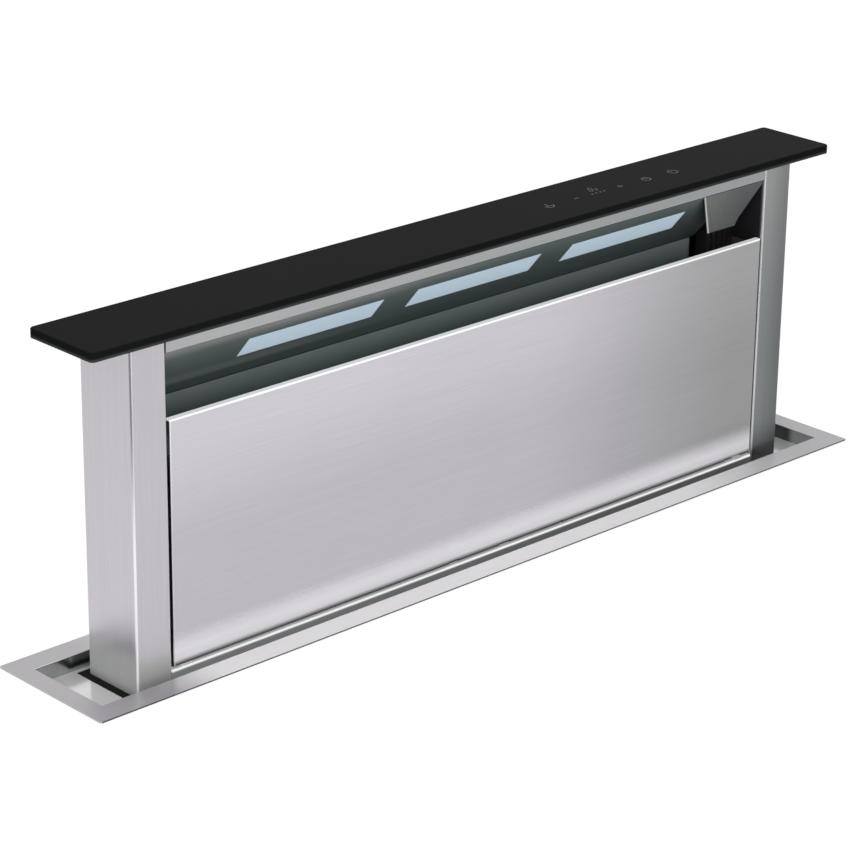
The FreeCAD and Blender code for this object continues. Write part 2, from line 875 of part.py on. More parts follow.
def volute_profile(grow):
    """Closed face of the volute in the XZ plane, grown by grow on every side but the outlet's."""
    top = collar_centre_z + collar_radius + grow
    bottom = collar_centre_z - collar_radius - grow

    def spiral(angle):
        share = (90 - angle) / 360
        radius = volute_start_radius + (volute_end_radius - volute_start_radius) * (1 - share) + grow
        return V(wheel_centre_x + radius * math.cos(math.radians(angle)), 0,
                 wheel_centre_z + radius * math.sin(math.radians(angle)))

    steps = 6
    sweep = 270 / steps
    edges = []
    start = spiral(90)
    for i in range(steps):
        a = 90 - sweep * i
        edges.append(Part.Arc(spiral(a), spiral(a - sweep / 2), spiral(a - sweep)).toShape())
    end = spiral(90 - 270)
    outlet_top = V(box_left_x + box_sheet, 0, top)
    outlet_low = V(box_left_x + box_sheet, 0, bottom)
    tongue = V(end.x, 0, bottom)
    points = [end, tongue, outlet_low, outlet_top, V(start.x, 0, top), start]
    for a, b in zip(points, points[1:]):
        if a.distanceToPoint(b) > 1e-6:
            edges.append(Part.LineSegment(a, b).toShape())
    return Part.Face(Part.Wire(edges))


def volute_solid(grow, y0, y1):
    face = volute_profile(grow)
    face.translate(V(0, y0, 0))
    return face.extrude(V(0, y1 - y0, 0))


def make_volute_half(y_plate, y_split):
    """One moulded half: an end plate and half of the scroll wall."""
    inward = 1 if y_split > y_plate else -1
    shell = volute_solid(volute_wall, min(y_plate, y_split), max(y_plate, y_split))
    inner_end = y_plate + inward * volute_wall
    cavity = volute_solid(0, min(inner_end, y_split), max(inner_end, y_split))
    return shell.cut(cavity)


def make_volute_back():
    half = make_volute_half(volute_back_y, volute_split_y)
    eye = rod((wheel_centre_x, volute_back_y, wheel_centre_z), (0, -1, 0), eye_radius, volute_wall)
    return half.cut(eye)


def make_volute_front():
    half = make_volute_half(volute_front_y, volute_split_y)
    hole = rod((wheel_centre_x, volute_front_y, wheel_centre_z), (0, 1, 0),
               hub_radius + motor_boss_gap, volute_wall)
    return half.cut(hole)


def make_inlet_ring():
    """Bell mouth between the casing's hole and the wheel's eye."""
    centre = (wheel_centre_x, -trough_half_depth, wheel_centre_z)
    outer = eye_radius - eye_gap
    inner = outer - inlet_wall
    depth = volute_gap + volute_wall + inlet_lip
    flange = tube(centre, (0, -1, 0), eye_radius + inlet_flange, inner, inlet_wall)
    throat = tube(centre, (0, -1, 0), outer, inner, depth)
    return flange.fuse(throat).removeSplitter()


def make_blower_wheel():
    centre = (wheel_centre_x, wheel_front_y, wheel_centre_z)
    disc = rod(centre, (0, 1, 0), wheel_radius, disc_thickness)
    ring = tube((wheel_centre_x, wheel_back_y - ring_thickness, wheel_centre_z), (0, 1, 0),
                wheel_radius, wheel_radius - ring_width, ring_thickness)
    hub = rod(centre, (0, 1, 0), hub_radius, hub_length)
    blades = []
    for i in range(wheel_blades):
        blade = box(wheel_radius - blade_depth + blade_inset, wheel_radius - blade_inset,
                    wheel_front_y + disc_thickness / 2, wheel_back_y - ring_thickness / 4,
                    -blade_thickness / 2, blade_thickness / 2)
        blade.rotate(V(wheel_radius - blade_depth / 2, 0, 0), V(0, 1, 0), blade_angle)
        blade.rotate(V(0, 0, 0), V(0, 1, 0), 360.0 * i / wheel_blades)
        blade.translate(V(wheel_centre_x, 0, wheel_centre_z))
        blades.append(blade)
    return disc.fuse([ring, hub] + blades).removeSplitter()


def make_wheel_shaft():
    """Motor shaft that carries the wheel; it turns in the blower motor's bore."""
    start = volute_front_y - blower_motor_length + motor_bore_end + shaft_bore_gap
    return rod((wheel_centre_x, start, wheel_centre_z), (0, 1, 0), wheel_shaft_radius,
               wheel_front_y - start)


def make_blower_motor():
    centre = (wheel_centre_x, volute_front_y, wheel_centre_z)
    boss_length = volute_wall + motor_boss_length
    body = rod(centre, (0, -1, 0), blower_motor_radius, blower_motor_length)
    boss = rod(centre, (0, 1, 0), hub_radius - motor_boss_gap, boss_length)
    motor = body.fuse(boss).removeSplitter()
    bore_start = volute_front_y - blower_motor_length + motor_bore_end
    bore = rod((wheel_centre_x, bore_start, wheel_centre_z), (0, 1, 0),
               wheel_shaft_radius + running_clearance, volute_front_y + boss_length - bore_start)
    return motor.cut(bore)


def make_blower_box():
    outer = box(box_left_x, box_right_x, box_front_y + box_sheet, -trough_half_depth,
                box_bottom_z, box_top_z)
    inner = box(box_left_x + box_sheet, box_right_x - box_sheet, box_front_y + box_sheet,
                -trough_half_depth, box_bottom_z + box_sheet, box_top_z - box_sheet)
    outlet = rod((box_left_x, collar_centre_y, collar_centre_z), (1, 0, 0),
                 collar_radius - collar_wall, box_sheet)
    return outer.cut(inner).cut(outlet)


def make_blower_cover():
    return box(box_left_x, box_right_x, box_front_y, box_front_y + box_sheet, box_bottom_z, box_top_z)


def make_outlet_collar():
    start = (box_left_x, collar_centre_y, collar_centre_z)
    spigot = tube(start, (-1, 0, 0), collar_radius, collar_radius - collar_wall, collar_length)
    flange = tube(start, (-1, 0, 0), collar_radius + collar_flange, collar_radius - collar_wall,
                  collar_flange_thickness)
    return spigot.fuse(flange).removeSplitter()


# ---------------------------------------------------------------- damper

def make_damper_pin():
    return rod((damper_x, collar_centre_y, collar_centre_z - damper_reach + pin_end_gap), (0, 0, 1),
               damper_pin_radius, 2 * (damper_reach - pin_end_gap))


def knuckle(low, high):
    return tube((damper_x, collar_centre_y, collar_centre_z + low), (0, 0, 1), knuckle_radius,
                damper_pin_radius + running_clearance, high - low)


def make_damper_flap(side):
    """Half disc on one side of the pin, with two knuckles that turn on it."""
    radius = damper_reach - flap_clearance
    disc = rod((damper_x - flap_thickness / 2, collar_centre_y, collar_centre_z), (1, 0, 0),
               radius, flap_thickness)
    near = collar_centre_y + side * (knuckle_radius + flap_edge_gap)
    far = collar_centre_y + side * damper_reach
    keep = box(damper_x - flap_thickness, damper_x + flap_thickness, near, far,
               collar_centre_z - radius, collar_centre_z + radius)
    leaf = disc.common(keep)
    pitch = knuckle_length + knuckle_gap
    inner_low = knuckle_from_middle
    outer_low = knuckle_from_middle + pitch
    lows = (outer_low, -outer_low - knuckle_length)
    if side < 0:
        lows = (inner_low, -inner_low - knuckle_length)
    flap = leaf
    for low in lows:
        arm = box(damper_x - flap_thickness / 2, damper_x + flap_thickness / 2,
                  collar_centre_y + side * (damper_pin_radius + flap_edge_gap), near + side * arm_bite,
                  collar_centre_z + low, collar_centre_z + low + knuckle_length)
        flap = flap.fuse([knuckle(low, low + knuckle_length), arm])
    bore = rod((damper_x, collar_centre_y, collar_centre_z - damper_reach), (0, 0, 1),
               damper_pin_radius + running_clearance, 2 * damper_reach)
    return flap.cut(bore).removeSplitter()


def make_damper_spring():
    """Small torsion spring wound loosely round the pin's middle."""
    radius = damper_pin_radius + spring_wire_radius + spring_gap
    helix = Part.makeHelix(spring_height / spring_turns, spring_height, radius)
    section = Part.Wire(Part.makeCircle(spring_wire_radius, V(radius, 0, 0), V(0, 1, 0)))
    coil = Part.Wire(helix.Edges).makePipeShell([section], True, True)
    coil.translate(V(damper_x, collar_centre_y, collar_centre_z - spring_height / 2))
    return coil


# ---------------------------------------------------------------- control box

def make_control_tray():
    open_y = control_front_y + control_wall
    outer = box(control_x, control_right_x, open_y, -trough_half_depth, control_bottom_z, control_top_z)
    inner = box(control_x + control_wall, control_right_x - control_wall,
                open_y, -trough_half_depth - control_wall,
                control_bottom_z + control_wall, control_top_z - control_wall)
    hole = rod((gland_x, gland_y, control_bottom_z), (0, 0, 1), gland_radius, control_wall)
    return outer.cut(inner).cut(hole)


def make_control_lid():
    return box(control_x, control_right_x, control_front_y, control_front_y + control_wall,
               control_bottom_z, control_top_z)


def make_control_circuit():
    """Power board on four standoffs, with its transformer."""
    back_y = -trough_half_depth - control_wall - standoff_height
    front_y = back_y - board_thickness
    left = control_x + circuit_margin
    right = control_right_x - circuit_margin
    low = control_bottom_z + circuit_margin
    high = control_top_z - circuit_margin
    board = box(left, right, front_y, back_y, low, high)
    inset = 2 * standoff_radius
    standoffs = [rod((x, back_y, z), (0, 1, 0), standoff_radius, standoff_height)
                 for x in (left + inset, right - inset) for z in (low + inset, high - inset)]
    block_left = control_x + transformer_from_left
    block_low = control_bottom_z + transformer_lift
    block = box(block_left, block_left + transformer_length, front_y - transformer_depth, front_y,
                block_low, block_low + transformer_height)
    return board.fuse(standoffs + [block]).removeSplitter()


def make_cable_gland():
    top = control_bottom_z + control_wall + gland_inner_length
    length = gland_length + gland_inner_length
    barrel = rod((gland_x, gland_y, top), (0, 0, -1), gland_radius - gland_seat_gap, length)
    nut = rod((gland_x, gland_y, control_bottom_z), (0, 0, -1), gland_nut_radius, gland_nut_height)
    bore = rod((gland_x, gland_y, top), (0, 0, -1), gland_bore_radius, length)
    return barrel.fuse(nut).removeSplitter().cut(bore)


# ---------------------------------------------------------------- assembly

parts["worktop_frame"] = make_worktop_frame()
parts["trough_walls"] = make_trough_walls()
parts["trough_floor"] = make_trough_floor()
parts["frame_seal"] = make_frame_seal()
parts["worktop_clamps"] = make_worktop_clamps()

parts["glass_top"] = make_glass()
parts["glass_carrier"] = make_glass_carrier()
parts["control_board"] = make_control_board()
parts["right_post"] = make_right_post()
parts["left_post"] = mirror_x(parts["right_post"])
parts["head_bar"] = make_head_bar()
parts["rear_panel"] = make_rear_panel()
parts["lower_skin"] = make_lower_skin()
parts["bottom_rail"] = make_bottom_rail()
parts["front_panel"] = make_front_panel()
parts["lamp_plate"] = make_lamp_plate()
parts["lamp_windows"] = make_lamp_windows()
parts["led_modules"] = make_led_modules()
parts["inner_wall"] = make_inner_wall()
parts["cable_duct"] = make_cable_duct()
parts["cable_cover"] = make_cable_cover()
parts["filter_frames"] = make_filter_frames()
parts["filter_meshes"] = make_filter_meshes()
parts["filter_ledge"] = make_filter_ledge()
parts["grease_gutter"] = make_grease_gutter()
parts["glide_shoes"] = make_glide_shoes()
parts["belt_clamps"] = both_ends(make_belt_clamp())

parts["casing_front"] = make_casing_front()
parts["casing_back"] = make_casing_back()
parts["casing_right"] = make_casing_side()
parts["casing_left"] = mirror_x(parts["casing_right"])
parts["casing_floor"] = make_casing_floor()
parts["feet"] = both_ends(make_foot())
parts["casing_screws"] = make_casing_screws()
parts["guide_rails"] = both_ends(make_guide_rail())

parts["cross_shaft"] = make_cross_shaft()
parts["drive_pulleys"] = both_ends(pulley_section(shaft_z, shaft_radius))
parts["idler_pulleys"] = both_ends(pulley_section(idler_z, idler_pin_radius + running_clearance))
parts["idler_pins"] = both_ends(make_idler_pin())
parts["belts"] = both_ends(make_belt())
parts["shaft_bearings"] = both_ends(make_bearing())
parts["lift_gearbox"] = make_gearbox()
parts["lift_motor"] = make_lift_motor()

parts["blower_box"] = make_blower_box()
parts["blower_cover"] = make_blower_cover()
parts["volute_back"] = make_volute_back()
parts["volute_front"] = make_volute_front()
parts["inlet_ring"] = make_inlet_ring()
parts["blower_wheel"] = make_blower_wheel()
parts["wheel_shaft"] = make_wheel_shaft()
parts["blower_motor"] = make_blower_motor()
parts["outlet_collar"] = make_outlet_collar()
parts["damper_pin"] = make_damper_pin()
parts["damper_flap_front"] = make_damper_flap(-1)
parts["damper_flap_back"] = make_damper_flap(1)
parts["damper_spring"] = make_damper_spring()
parts["control_tray"] = make_control_tray()
parts["control_lid"] = make_control_lid()
parts["control_circuit"] = make_control_circuit()
parts["cable_gland"] = make_cable_gland()

os.makedirs("parts", exist_ok=True)
for name, shape in parts.items():
    shape.exportStep(os.path.join("parts", name + ".step"))
    size = shape.BoundBox
    print(f"{name:20s} solids {len(shape.Solids):2d} volume {shape.Volume / 1000:9.2f} cm3 "
          f"valid {shape.isValid()} x {size.XMin:7.1f} {size.XMax:7.1f} "
          f"y {size.YMin:7.1f} {size.YMax:7.1f} z {size.ZMin:7.1f} {size.ZMax:7.1f}")
print("nodes", len(parts))
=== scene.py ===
import math

import bmesh
import bpy
from mathutils import Matrix, Vector


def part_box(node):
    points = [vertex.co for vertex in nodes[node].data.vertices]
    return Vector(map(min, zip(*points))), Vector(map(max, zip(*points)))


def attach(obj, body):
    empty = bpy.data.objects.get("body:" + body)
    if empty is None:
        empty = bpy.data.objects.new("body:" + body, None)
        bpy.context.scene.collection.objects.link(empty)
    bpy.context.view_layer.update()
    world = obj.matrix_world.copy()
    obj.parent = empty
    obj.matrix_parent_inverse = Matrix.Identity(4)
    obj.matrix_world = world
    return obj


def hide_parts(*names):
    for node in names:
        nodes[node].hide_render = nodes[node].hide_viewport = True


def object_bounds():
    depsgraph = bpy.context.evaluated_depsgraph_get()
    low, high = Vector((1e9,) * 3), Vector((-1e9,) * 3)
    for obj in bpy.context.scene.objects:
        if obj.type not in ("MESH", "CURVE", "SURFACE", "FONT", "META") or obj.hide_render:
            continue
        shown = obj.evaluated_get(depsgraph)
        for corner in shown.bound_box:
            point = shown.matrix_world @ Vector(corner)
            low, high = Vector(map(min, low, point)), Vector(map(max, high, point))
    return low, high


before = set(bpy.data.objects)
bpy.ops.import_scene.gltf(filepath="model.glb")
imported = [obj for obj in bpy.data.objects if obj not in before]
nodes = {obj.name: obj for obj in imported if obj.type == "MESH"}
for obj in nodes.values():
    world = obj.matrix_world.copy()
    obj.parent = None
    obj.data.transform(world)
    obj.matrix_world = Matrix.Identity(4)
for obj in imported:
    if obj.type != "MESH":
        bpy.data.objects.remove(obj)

# Looks of a 90 cm downdraft vent with its column raised out of the worktop.
# Metres throughout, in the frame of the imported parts: z = 0 is the top of the worktop.

cad_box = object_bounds()

# ---------------------------------------------------------------- camera

CAMERA_PLACE = Vector((-1.7376, -1.7893, 1.0877))
CAMERA_AZIMUTH = math.radians(-43.413)
CAMERA_ELEVATION = math.radians(21.348)
CAMERA_ROLL = math.radians(0.688)
CAMERA_LENS = 130.30
CAMERA_SENSOR = 36.0


def place_camera():
    """Long lens in front of the left end, a little above the glass."""
    flat = math.cos(CAMERA_ELEVATION)
    back = Vector((
        math.sin(CAMERA_AZIMUTH) * flat,
        -math.cos(CAMERA_AZIMUTH) * flat,
        math.sin(CAMERA_ELEVATION),
    ))
    level_right = Vector((0, 0, 1)).cross(back).normalized()
    level_up = back.cross(level_right)
    right = math.cos(CAMERA_ROLL) * level_right + math.sin(CAMERA_ROLL) * level_up
    up = back.cross(right)
    lens = bpy.data.cameras.new("camera")
    lens.lens = CAMERA_LENS
    lens.sensor_width = CAMERA_SENSOR
    lens.clip_end = 50.0
    camera = bpy.data.objects.new("camera", lens)
    turn = Matrix((right, up, back)).transposed().to_4x4()
    camera.matrix_world = Matrix.Translation(CAMERA_PLACE) @ turn
    bpy.context.scene.collection.objects.link(camera)
    bpy.context.scene.camera = camera


# ---------------------------------------------------------------- node helpers

def add(tree, kind, values=None, **settings):
    """New node, with its own settings and the values of its sockets by name or number."""
    node = tree.nodes.new("ShaderNode" + kind)
    for name, value in settings.items():
        setattr(node, name, value)
    for name, value in (values or {}).items():
        node.inputs[name].default_value = value
    return node


def link(tree, source, target):
    """Wire from an output socket to an input socket."""
    tree.links.new(source, target)


def maths(tree, operation, first, second):
    """Math node. Each term is a socket or a number; a third term, where there is one, is 1."""
    node = add(tree, "Math", {2: 1.0}, operation=operation)
    for slot, term in enumerate((first, second)):
        if isinstance(term, (int, float)):
            node.inputs[slot].default_value = term
        else:
            link(tree, term, node.inputs[slot])
    return node.outputs[0]


def new_group(name, inputs, outputs):
    """Empty node group with its sockets. Inputs are (name, kind, value)."""
    group = bpy.data.node_groups.new(name, "ShaderNodeTree")
    for label, kind, value in inputs:
        made = group.interface.new_socket(label, in_out="INPUT", socket_type=kind)
        made.default_value = value
    for label, kind in outputs:
        group.interface.new_socket(label, in_out="OUTPUT", socket_type=kind)
    entry = group.nodes.new("NodeGroupInput").outputs
    leave = group.nodes.new("NodeGroupOutput").inputs
    return group, entry, leave


def use_group(tree, group, values):
    """Outputs of a group placed in a tree, with its own values."""
    node = add(tree, "Group", node_tree=group)
    for label, value in values.items():
        node.inputs[label].default_value = value
    return node.outputs


NUMBER = "NodeSocketFloat"
TRIPLE = "NodeSocketVector"

# ---------------------------------------------------------------- surface effects


def ease_in(group, entry, value):
    """Value eased from 0 at the group's Onset to 1 at its Full."""
    ease = add(group, "MapRange", interpolation_type="SMOOTHSTEP")
    link(group, value, ease.inputs["Value"])
    link(group, entry["Onset"], ease.inputs["From Min"])
    link(group, entry["Full"], ease.inputs["From Max"])
    return ease.outputs[0]


def tone_round_one(group, entry, value):
    """Tone that swings round 1 with a value from 0 to 1, as far as the group's Contrast."""
    centred = maths(group, "SUBTRACT", value, 0.5)
    swing = maths(group, "MULTIPLY", centred, entry["Contrast"])
    return maths(group, "ADD", swing, 1.0)


def make_brushing():
    """Fine parallel strokes: noise that is stretched along one axis of the part."""
    group, entry, leave = new_group(
        "brushing",
        [("Strokes per metre", TRIPLE, (20.0, 2500.0, 2500.0)), ("Contrast", NUMBER, 0.1)],
        [("Tone", NUMBER), ("Height", NUMBER)],
    )
    place = add(group, "TexCoord")
    stretch = add(group, "VectorMath", operation="MULTIPLY")
    link(group, place.outputs["Object"], stretch.inputs[0])
    link(group, entry["Strokes per metre"], stretch.inputs[1])
    strokes = add(group, "TexNoise", {"Scale": 1.0, "Detail": 4.0, "Roughness": 0.68})
    link(group, stretch.outputs[0], strokes.inputs["Vector"])
    link(group, tone_round_one(group, entry, strokes.outputs[0]), leave["Tone"])
    link(group, strokes.outputs[0], leave["Height"])
    return group


def make_clouding():
    """Broad soft patches of lighter and darker tone."""
    group, entry, leave = new_group(
        "clouding",
        [("Patches per metre", NUMBER, 5.0), ("Contrast", NUMBER, 0.1)],
        [("Tone", NUMBER)],
    )
    place = add(group, "TexCoord")
    patches = add(group, "TexNoise", {"Detail": 2.0, "Roughness": 0.5})
    link(group, place.outputs["Object"], patches.inputs["Vector"])
    link(group, entry["Patches per metre"], patches.inputs["Scale"])
    link(group, tone_round_one(group, entry, patches.outputs[0]), leave["Tone"])
    return group


def make_fade():
    """Share from 0 at one point of the part to 1 at another, eased at both ends."""
    group, entry, leave = new_group(
        "fade",
        [("From", TRIPLE, (0.0, 0.0, 0.0)), ("To", TRIPLE, (1.0, 0.0, 0.0))],
        [("Share", NUMBER)],
    )
    place = add(group, "TexCoord")
    run = add(group, "VectorMath", operation="SUBTRACT")
    link(group, entry["To"], run.inputs[0])
    link(group, entry["From"], run.inputs[1])
    gone = add(group, "VectorMath", operation="SUBTRACT")
    link(group, place.outputs["Object"], gone.inputs[0])
    link(group, entry["From"], gone.inputs[1])
    along = add(group, "VectorMath", operation="DOT_PRODUCT")
    link(group, gone.outputs[0], along.inputs[0])
    link(group, run.outputs[0], along.inputs[1])
    whole = add(group, "VectorMath", operation="DOT_PRODUCT")
    link(group, run.outputs[0], whole.inputs[0])
    link(group, run.outputs[0], whole.inputs[1])
    share = maths(group, "DIVIDE", along.outputs["Value"], whole.outputs["Value"])
    ease = add(group, "MapRange", interpolation_type="SMOOTHSTEP")
    link(group, share, ease.inputs["Value"])
    link(group, ease.outputs[0], leave["Share"])
    return group


def make_spangle():
    """Crystals of a zinc coat: flat cells of slightly different grey."""
    group, entry, leave = new_group(
        "spangle",
        [("Crystals per metre", NUMBER, 120.0), ("Contrast", NUMBER, 0.2)],
        [("Tone", NUMBER), ("Height", NUMBER)],
    )
    place = add(group, "TexCoord")
    crystals = add(group, "TexVoronoi", {"Randomness": 1.0})
    link(group, place.outputs["Object"], crystals.inputs["Vector"])
    link(group, entry["Crystals per metre"], crystals.inputs["Scale"])
    grey = add(group, "SeparateColor")
    link(group, crystals.outputs["Color"], grey.inputs[0])
    link(group, tone_round_one(group, entry, grey.outputs[0]), leave["Tone"])
    link(group, grey.outputs[1], leave["Height"])
    return group


def make_moulding():
    """Fine pebbled skin of moulded plastic or rubber."""
    group, entry, leave = new_group(
        "moulding",
        [("Grains per metre", NUMBER, 1500.0), ("Contrast", NUMBER, 0.1)],
        [("Tone", NUMBER), ("Height", NUMBER)],
    )
    place = add(group, "TexCoord")
    grains = add(group, "TexNoise", {"Detail": 1.0, "Roughness": 0.4})
    link(group, place.outputs["Object"], grains.inputs["Vector"])
    link(group, entry["Grains per metre"], grains.inputs["Scale"])
    link(group, tone_round_one(group, entry, grains.outputs[0]), leave["Tone"])
    link(group, grains.outputs[0], leave["Height"])
    return group


def make_painted_bend_light_mask():
    """Share from 0 on flat faces to 1 on the bends between them, where light or shade is painted.
    """
    group, entry, leave = new_group(
        "painted bend light mask",
        [("Onset", NUMBER, 0.01), ("Full", NUMBER, 0.15)],
        [("Share", NUMBER)],
    )
    place = add(group, "TexCoord")
    facing = add(group, "VectorMath", operation="ABSOLUTE")
    link(group, place.outputs["Normal"], facing.inputs[0])
    axes = add(group, "SeparateXYZ")
    link(group, facing.outputs[0], axes.inputs[0])
    largest = maths(group, "MAXIMUM", axes.outputs[0], axes.outputs[1])
    largest = maths(group, "MAXIMUM", largest, axes.outputs[2])
    bent = maths(group, "SUBTRACT", 1.0, largest)
    link(group, ease_in(group, entry, bent), leave["Share"])
    return group


def make_front_face():
    """Share of 1 on faces towards the cook, 0 on the others."""
    group, entry, leave = new_group(
        "front face", [("Onset", NUMBER, 0.9), ("Full", NUMBER, 0.995)], [("Share", NUMBER)],
    )
    place = add(group, "TexCoord")
    axes = add(group, "SeparateXYZ")
    link(group, place.outputs["Normal"], axes.inputs[0])
    forward = maths(group, "MULTIPLY", axes.outputs[1], -1.0)
    link(group, ease_in(group, entry, forward), leave["Share"])
    return group


brushing = make_brushing()
painted_bend_light_mask = make_painted_bend_light_mask()
front_face = make_front_face()
clouding = make_clouding()
fade = make_fade()
spangle = make_spangle()
moulding = make_moulding()

# ---------------------------------------------------------------- materials


def new_finish(name, metallic=0.0, roughness=0.5, specular=0.5):
    """Material with its principled shader."""
    material = bpy.data.materials.new(name)
    material.use_nodes = True
    tree = material.node_tree
    tree.nodes.clear()
    end = add(tree, "OutputMaterial")
    surface = add(tree, "BsdfPrincipled")
    surface.inputs["Metallic"].default_value = metallic
    surface.inputs["Roughness"].default_value = roughness
    surface.inputs["Specular IOR Level"].default_value = specular
    link(tree, surface.outputs[0], end.inputs["Surface"])
    return material, tree, surface.inputs


def tint(tree, colour, tones):
    """Colour, or a colour socket, made lighter and darker by each tone in turn."""
    shade = tones[0]
    for tone in tones[1:]:
        shade = maths(tree, "MULTIPLY", shade, tone)
    scaled = add(tree, "VectorMath", operation="SCALE")
    if isinstance(colour, tuple):
        scaled.inputs[0].default_value = colour
    else:
        link(tree, colour, scaled.inputs[0])
    link(tree, shade, scaled.inputs["Scale"])
    return scaled.outputs[0]


def cloud_tone(tree, patches, contrast):
    """Tone of broad patches, so many to the metre."""
    return use_group(tree, clouding, {"Patches per metre": patches, "Contrast": contrast})["Tone"]


def blend_colours(tree, share, first, second):
    """Colour that goes from the first to the second. Each is a colour or a socket."""
    mix = add(tree, "Mix", data_type="RGBA")
    link(tree, share, mix.inputs["Factor"])
    for label, colour in ((6, first), (7, second)):
        if isinstance(colour, tuple):
            mix.inputs[label].default_value = (*colour, 1.0)
        else:
            link(tree, colour, mix.inputs[label])
    return mix.outputs[2]


def raise_surface(tree, surface, height, strength, depth):
    """Bump from a height that varies over the surface."""
    bump = add(tree, "Bump", {"Strength": strength, "Distance": depth})
    link(tree, height, bump.inputs["Height"])
    link(tree, bump.outputs[0], surface["Normal"])


ALONG_X = (9.0, 620.0, 620.0)
ALONG_Z = (620.0, 620.0, 9.0)


def at_x(x):
    """Point on the part's X axis: a stop of a fade that runs along the vent."""
    return (x, 0.0, 0.0)


def at_y(y):
    """Point on the part's Y axis: a stop of a fade that runs from front to back."""
    return (0.0, y, 0.0)


def at_z(z):
    """Point on the part's Z axis: a stop of a fade that runs up the part."""
    return (0.0, 0.0, z)


def share_between(tree, start, end, *more):
    """Share that rises from 0 at start to 1 at end; each further pair of points limits it."""
    share = use_group(tree, fade, {"From": start, "To": end})["Share"]
    for other_start, other_end in zip(more[::2], more[1::2]):
        share = maths(tree, "MULTIPLY", share, share_between(tree, other_start, other_end))
    return share


def lay_over(tree, colour, layers):
    """Colour with each layer laid over it in turn. A layer is (colour, start, end, ...)."""
    for layer_colour, *points in layers:
        colour = blend_colours(tree, share_between(tree, *points), colour, layer_colour)
    return colour


def brushed_steel(name, colour, layers=(), painted_band=None, painted_shade_over_band=(), front=None, painted_glint=None,
                  tone=None, bends=((0.80, 0.80, 0.81),), strokes=ALONG_X, roughness=0.3,
                  contrast=0.2, metallic=1.0):
    """Satin stainless steel, with painted highlights and painted shade in its colour.
    Each of layers and painted_shade_over_band is (colour, start, end): a tone reached between two
    points.
    painted_band is (colour, start, end) for a painted highlight or painted shade band, where the
    steel also mirrors less.
    painted_shade_over_band lies over that band, and front, painted shade by facing, lies over
    both, on faces towards the cook only.
    painted_glint is (strength, start, end) for a painted highlight on an edge, given by emission.
    tone is (amount, start, end): a painted light falloff, how much lighter the steel is painted
    at the end.
    bends is the colour of the bends, their painted highlight or painted shade, and after it any
    (colour, start, end) over that."""
    material, tree, surface = new_finish(name, metallic=metallic, roughness=roughness)
    colour = lay_over(tree, colour, layers)
    # Painted band: a painted highlight or painted shade over the colour, where the steel also
    # mirrors less.
    if painted_band:
        painted_band_colour, *points = painted_band
        share = share_between(tree, *points)
        colour = blend_colours(tree, share, colour, painted_band_colour)
        mirror = maths(tree, "MULTIPLY", maths(tree, "SUBTRACT", 1.0, share), metallic)
        link(tree, mirror, surface["Metallic"])
    # Painted shade laid over the band.
    colour = lay_over(tree, colour, painted_shade_over_band)
    # Painted shade on faces towards the cook.
    if front:
        front_colour, *points = front
        facing = use_group(tree, front_face, {})["Share"]
        share = maths(tree, "MULTIPLY", share_between(tree, *points), facing)
        colour = blend_colours(tree, share, colour, front_colour)
    # Bends get a painted highlight, or painted shade where their colour is dark.
    share = use_group(tree, painted_bend_light_mask, {})["Share"]
    colour = blend_colours(tree, share, colour, lay_over(tree, bends[0], bends[1:]))
    # Painted highlight: the edge gives off light of its own, as if it caught the light.
    if painted_glint:
        strength, *points = painted_glint
        surface["Emission Strength"].default_value = strength
        share = share_between(tree, *points)
        lit = blend_colours(tree, share, (0.0, 0.0, 0.0), (1.0, 1.0, 1.0))
        link(tree, lit, surface["Emission Color"])
    grain = use_group(tree, brushing, {"Strokes per metre": strokes, "Contrast": contrast})
    tones = [grain["Tone"], cloud_tone(tree, patches=6.0, contrast=0.1)]
    # Painted light falloff: the steel is painted lighter or darker towards one end.
    if tone:
        amount, *points = tone
        tones.append(maths(tree, "MULTIPLY_ADD", share_between(tree, *points), amount))
    link(tree, tint(tree, colour, tones), surface["Base Color"])
    raise_surface(tree, surface, grain["Height"], strength=0.1, depth=0.00004)
    return material


def zinc_coat(name, colour, crystals, contrast):
    """Galvanised sheet with its spangle, of so many crystals to the metre."""
    material, tree, surface = new_finish(name, metallic=0.85, roughness=0.4)
    crystal = use_group(tree, spangle, {"Crystals per metre": crystals, "Contrast": contrast})
    tones = [crystal["Tone"], cloud_tone(tree, patches=7.0, contrast=0.18)]
    link(tree, tint(tree, colour, tones), surface["Base Color"])
    raise_surface(tree, surface, crystal["Height"], strength=0.08, depth=0.00005)
    return material


def moulded(name, colour, roughness=0.45, grains=1400.0, specular=0.4):
    """Moulded plastic, rubber or foam with a fine skin."""
    material, tree, surface = new_finish(name, roughness=roughness, specular=specular)
    skin = use_group(tree, moulding, {"Grains per metre": grains, "Contrast": 0.16})
    tones = [skin["Tone"], cloud_tone(tree, patches=12.0, contrast=0.12)]
    link(tree, tint(tree, colour, tones), surface["Base Color"])
    raise_surface(tree, surface, skin["Height"], strength=0.25, depth=0.0001)
    return material


def coated_sheet(name, colour, layers=(), roughness=0.5):
    """Coated sheet of the intake. Each layer is (colour, start, end) as on steel."""
    material, tree, surface = new_finish(name, metallic=0.7, roughness=roughness, specular=0.3)
    colour = lay_over(tree, colour, layers)
    skin = use_group(tree, moulding, {"Grains per metre": 900.0, "Contrast": 0.08})
    tones = [skin["Tone"], cloud_tone(tree, patches=9.0, contrast=0.2)]
    link(tree, tint(tree, colour, tones), surface["Base Color"])
    raise_surface(tree, surface, skin["Height"], strength=0.1, depth=0.00005)
    return material


GLASS_RISE = (0.0008, 0.0034)
GLASS_BEVEL = (0.0009, 0.0004)


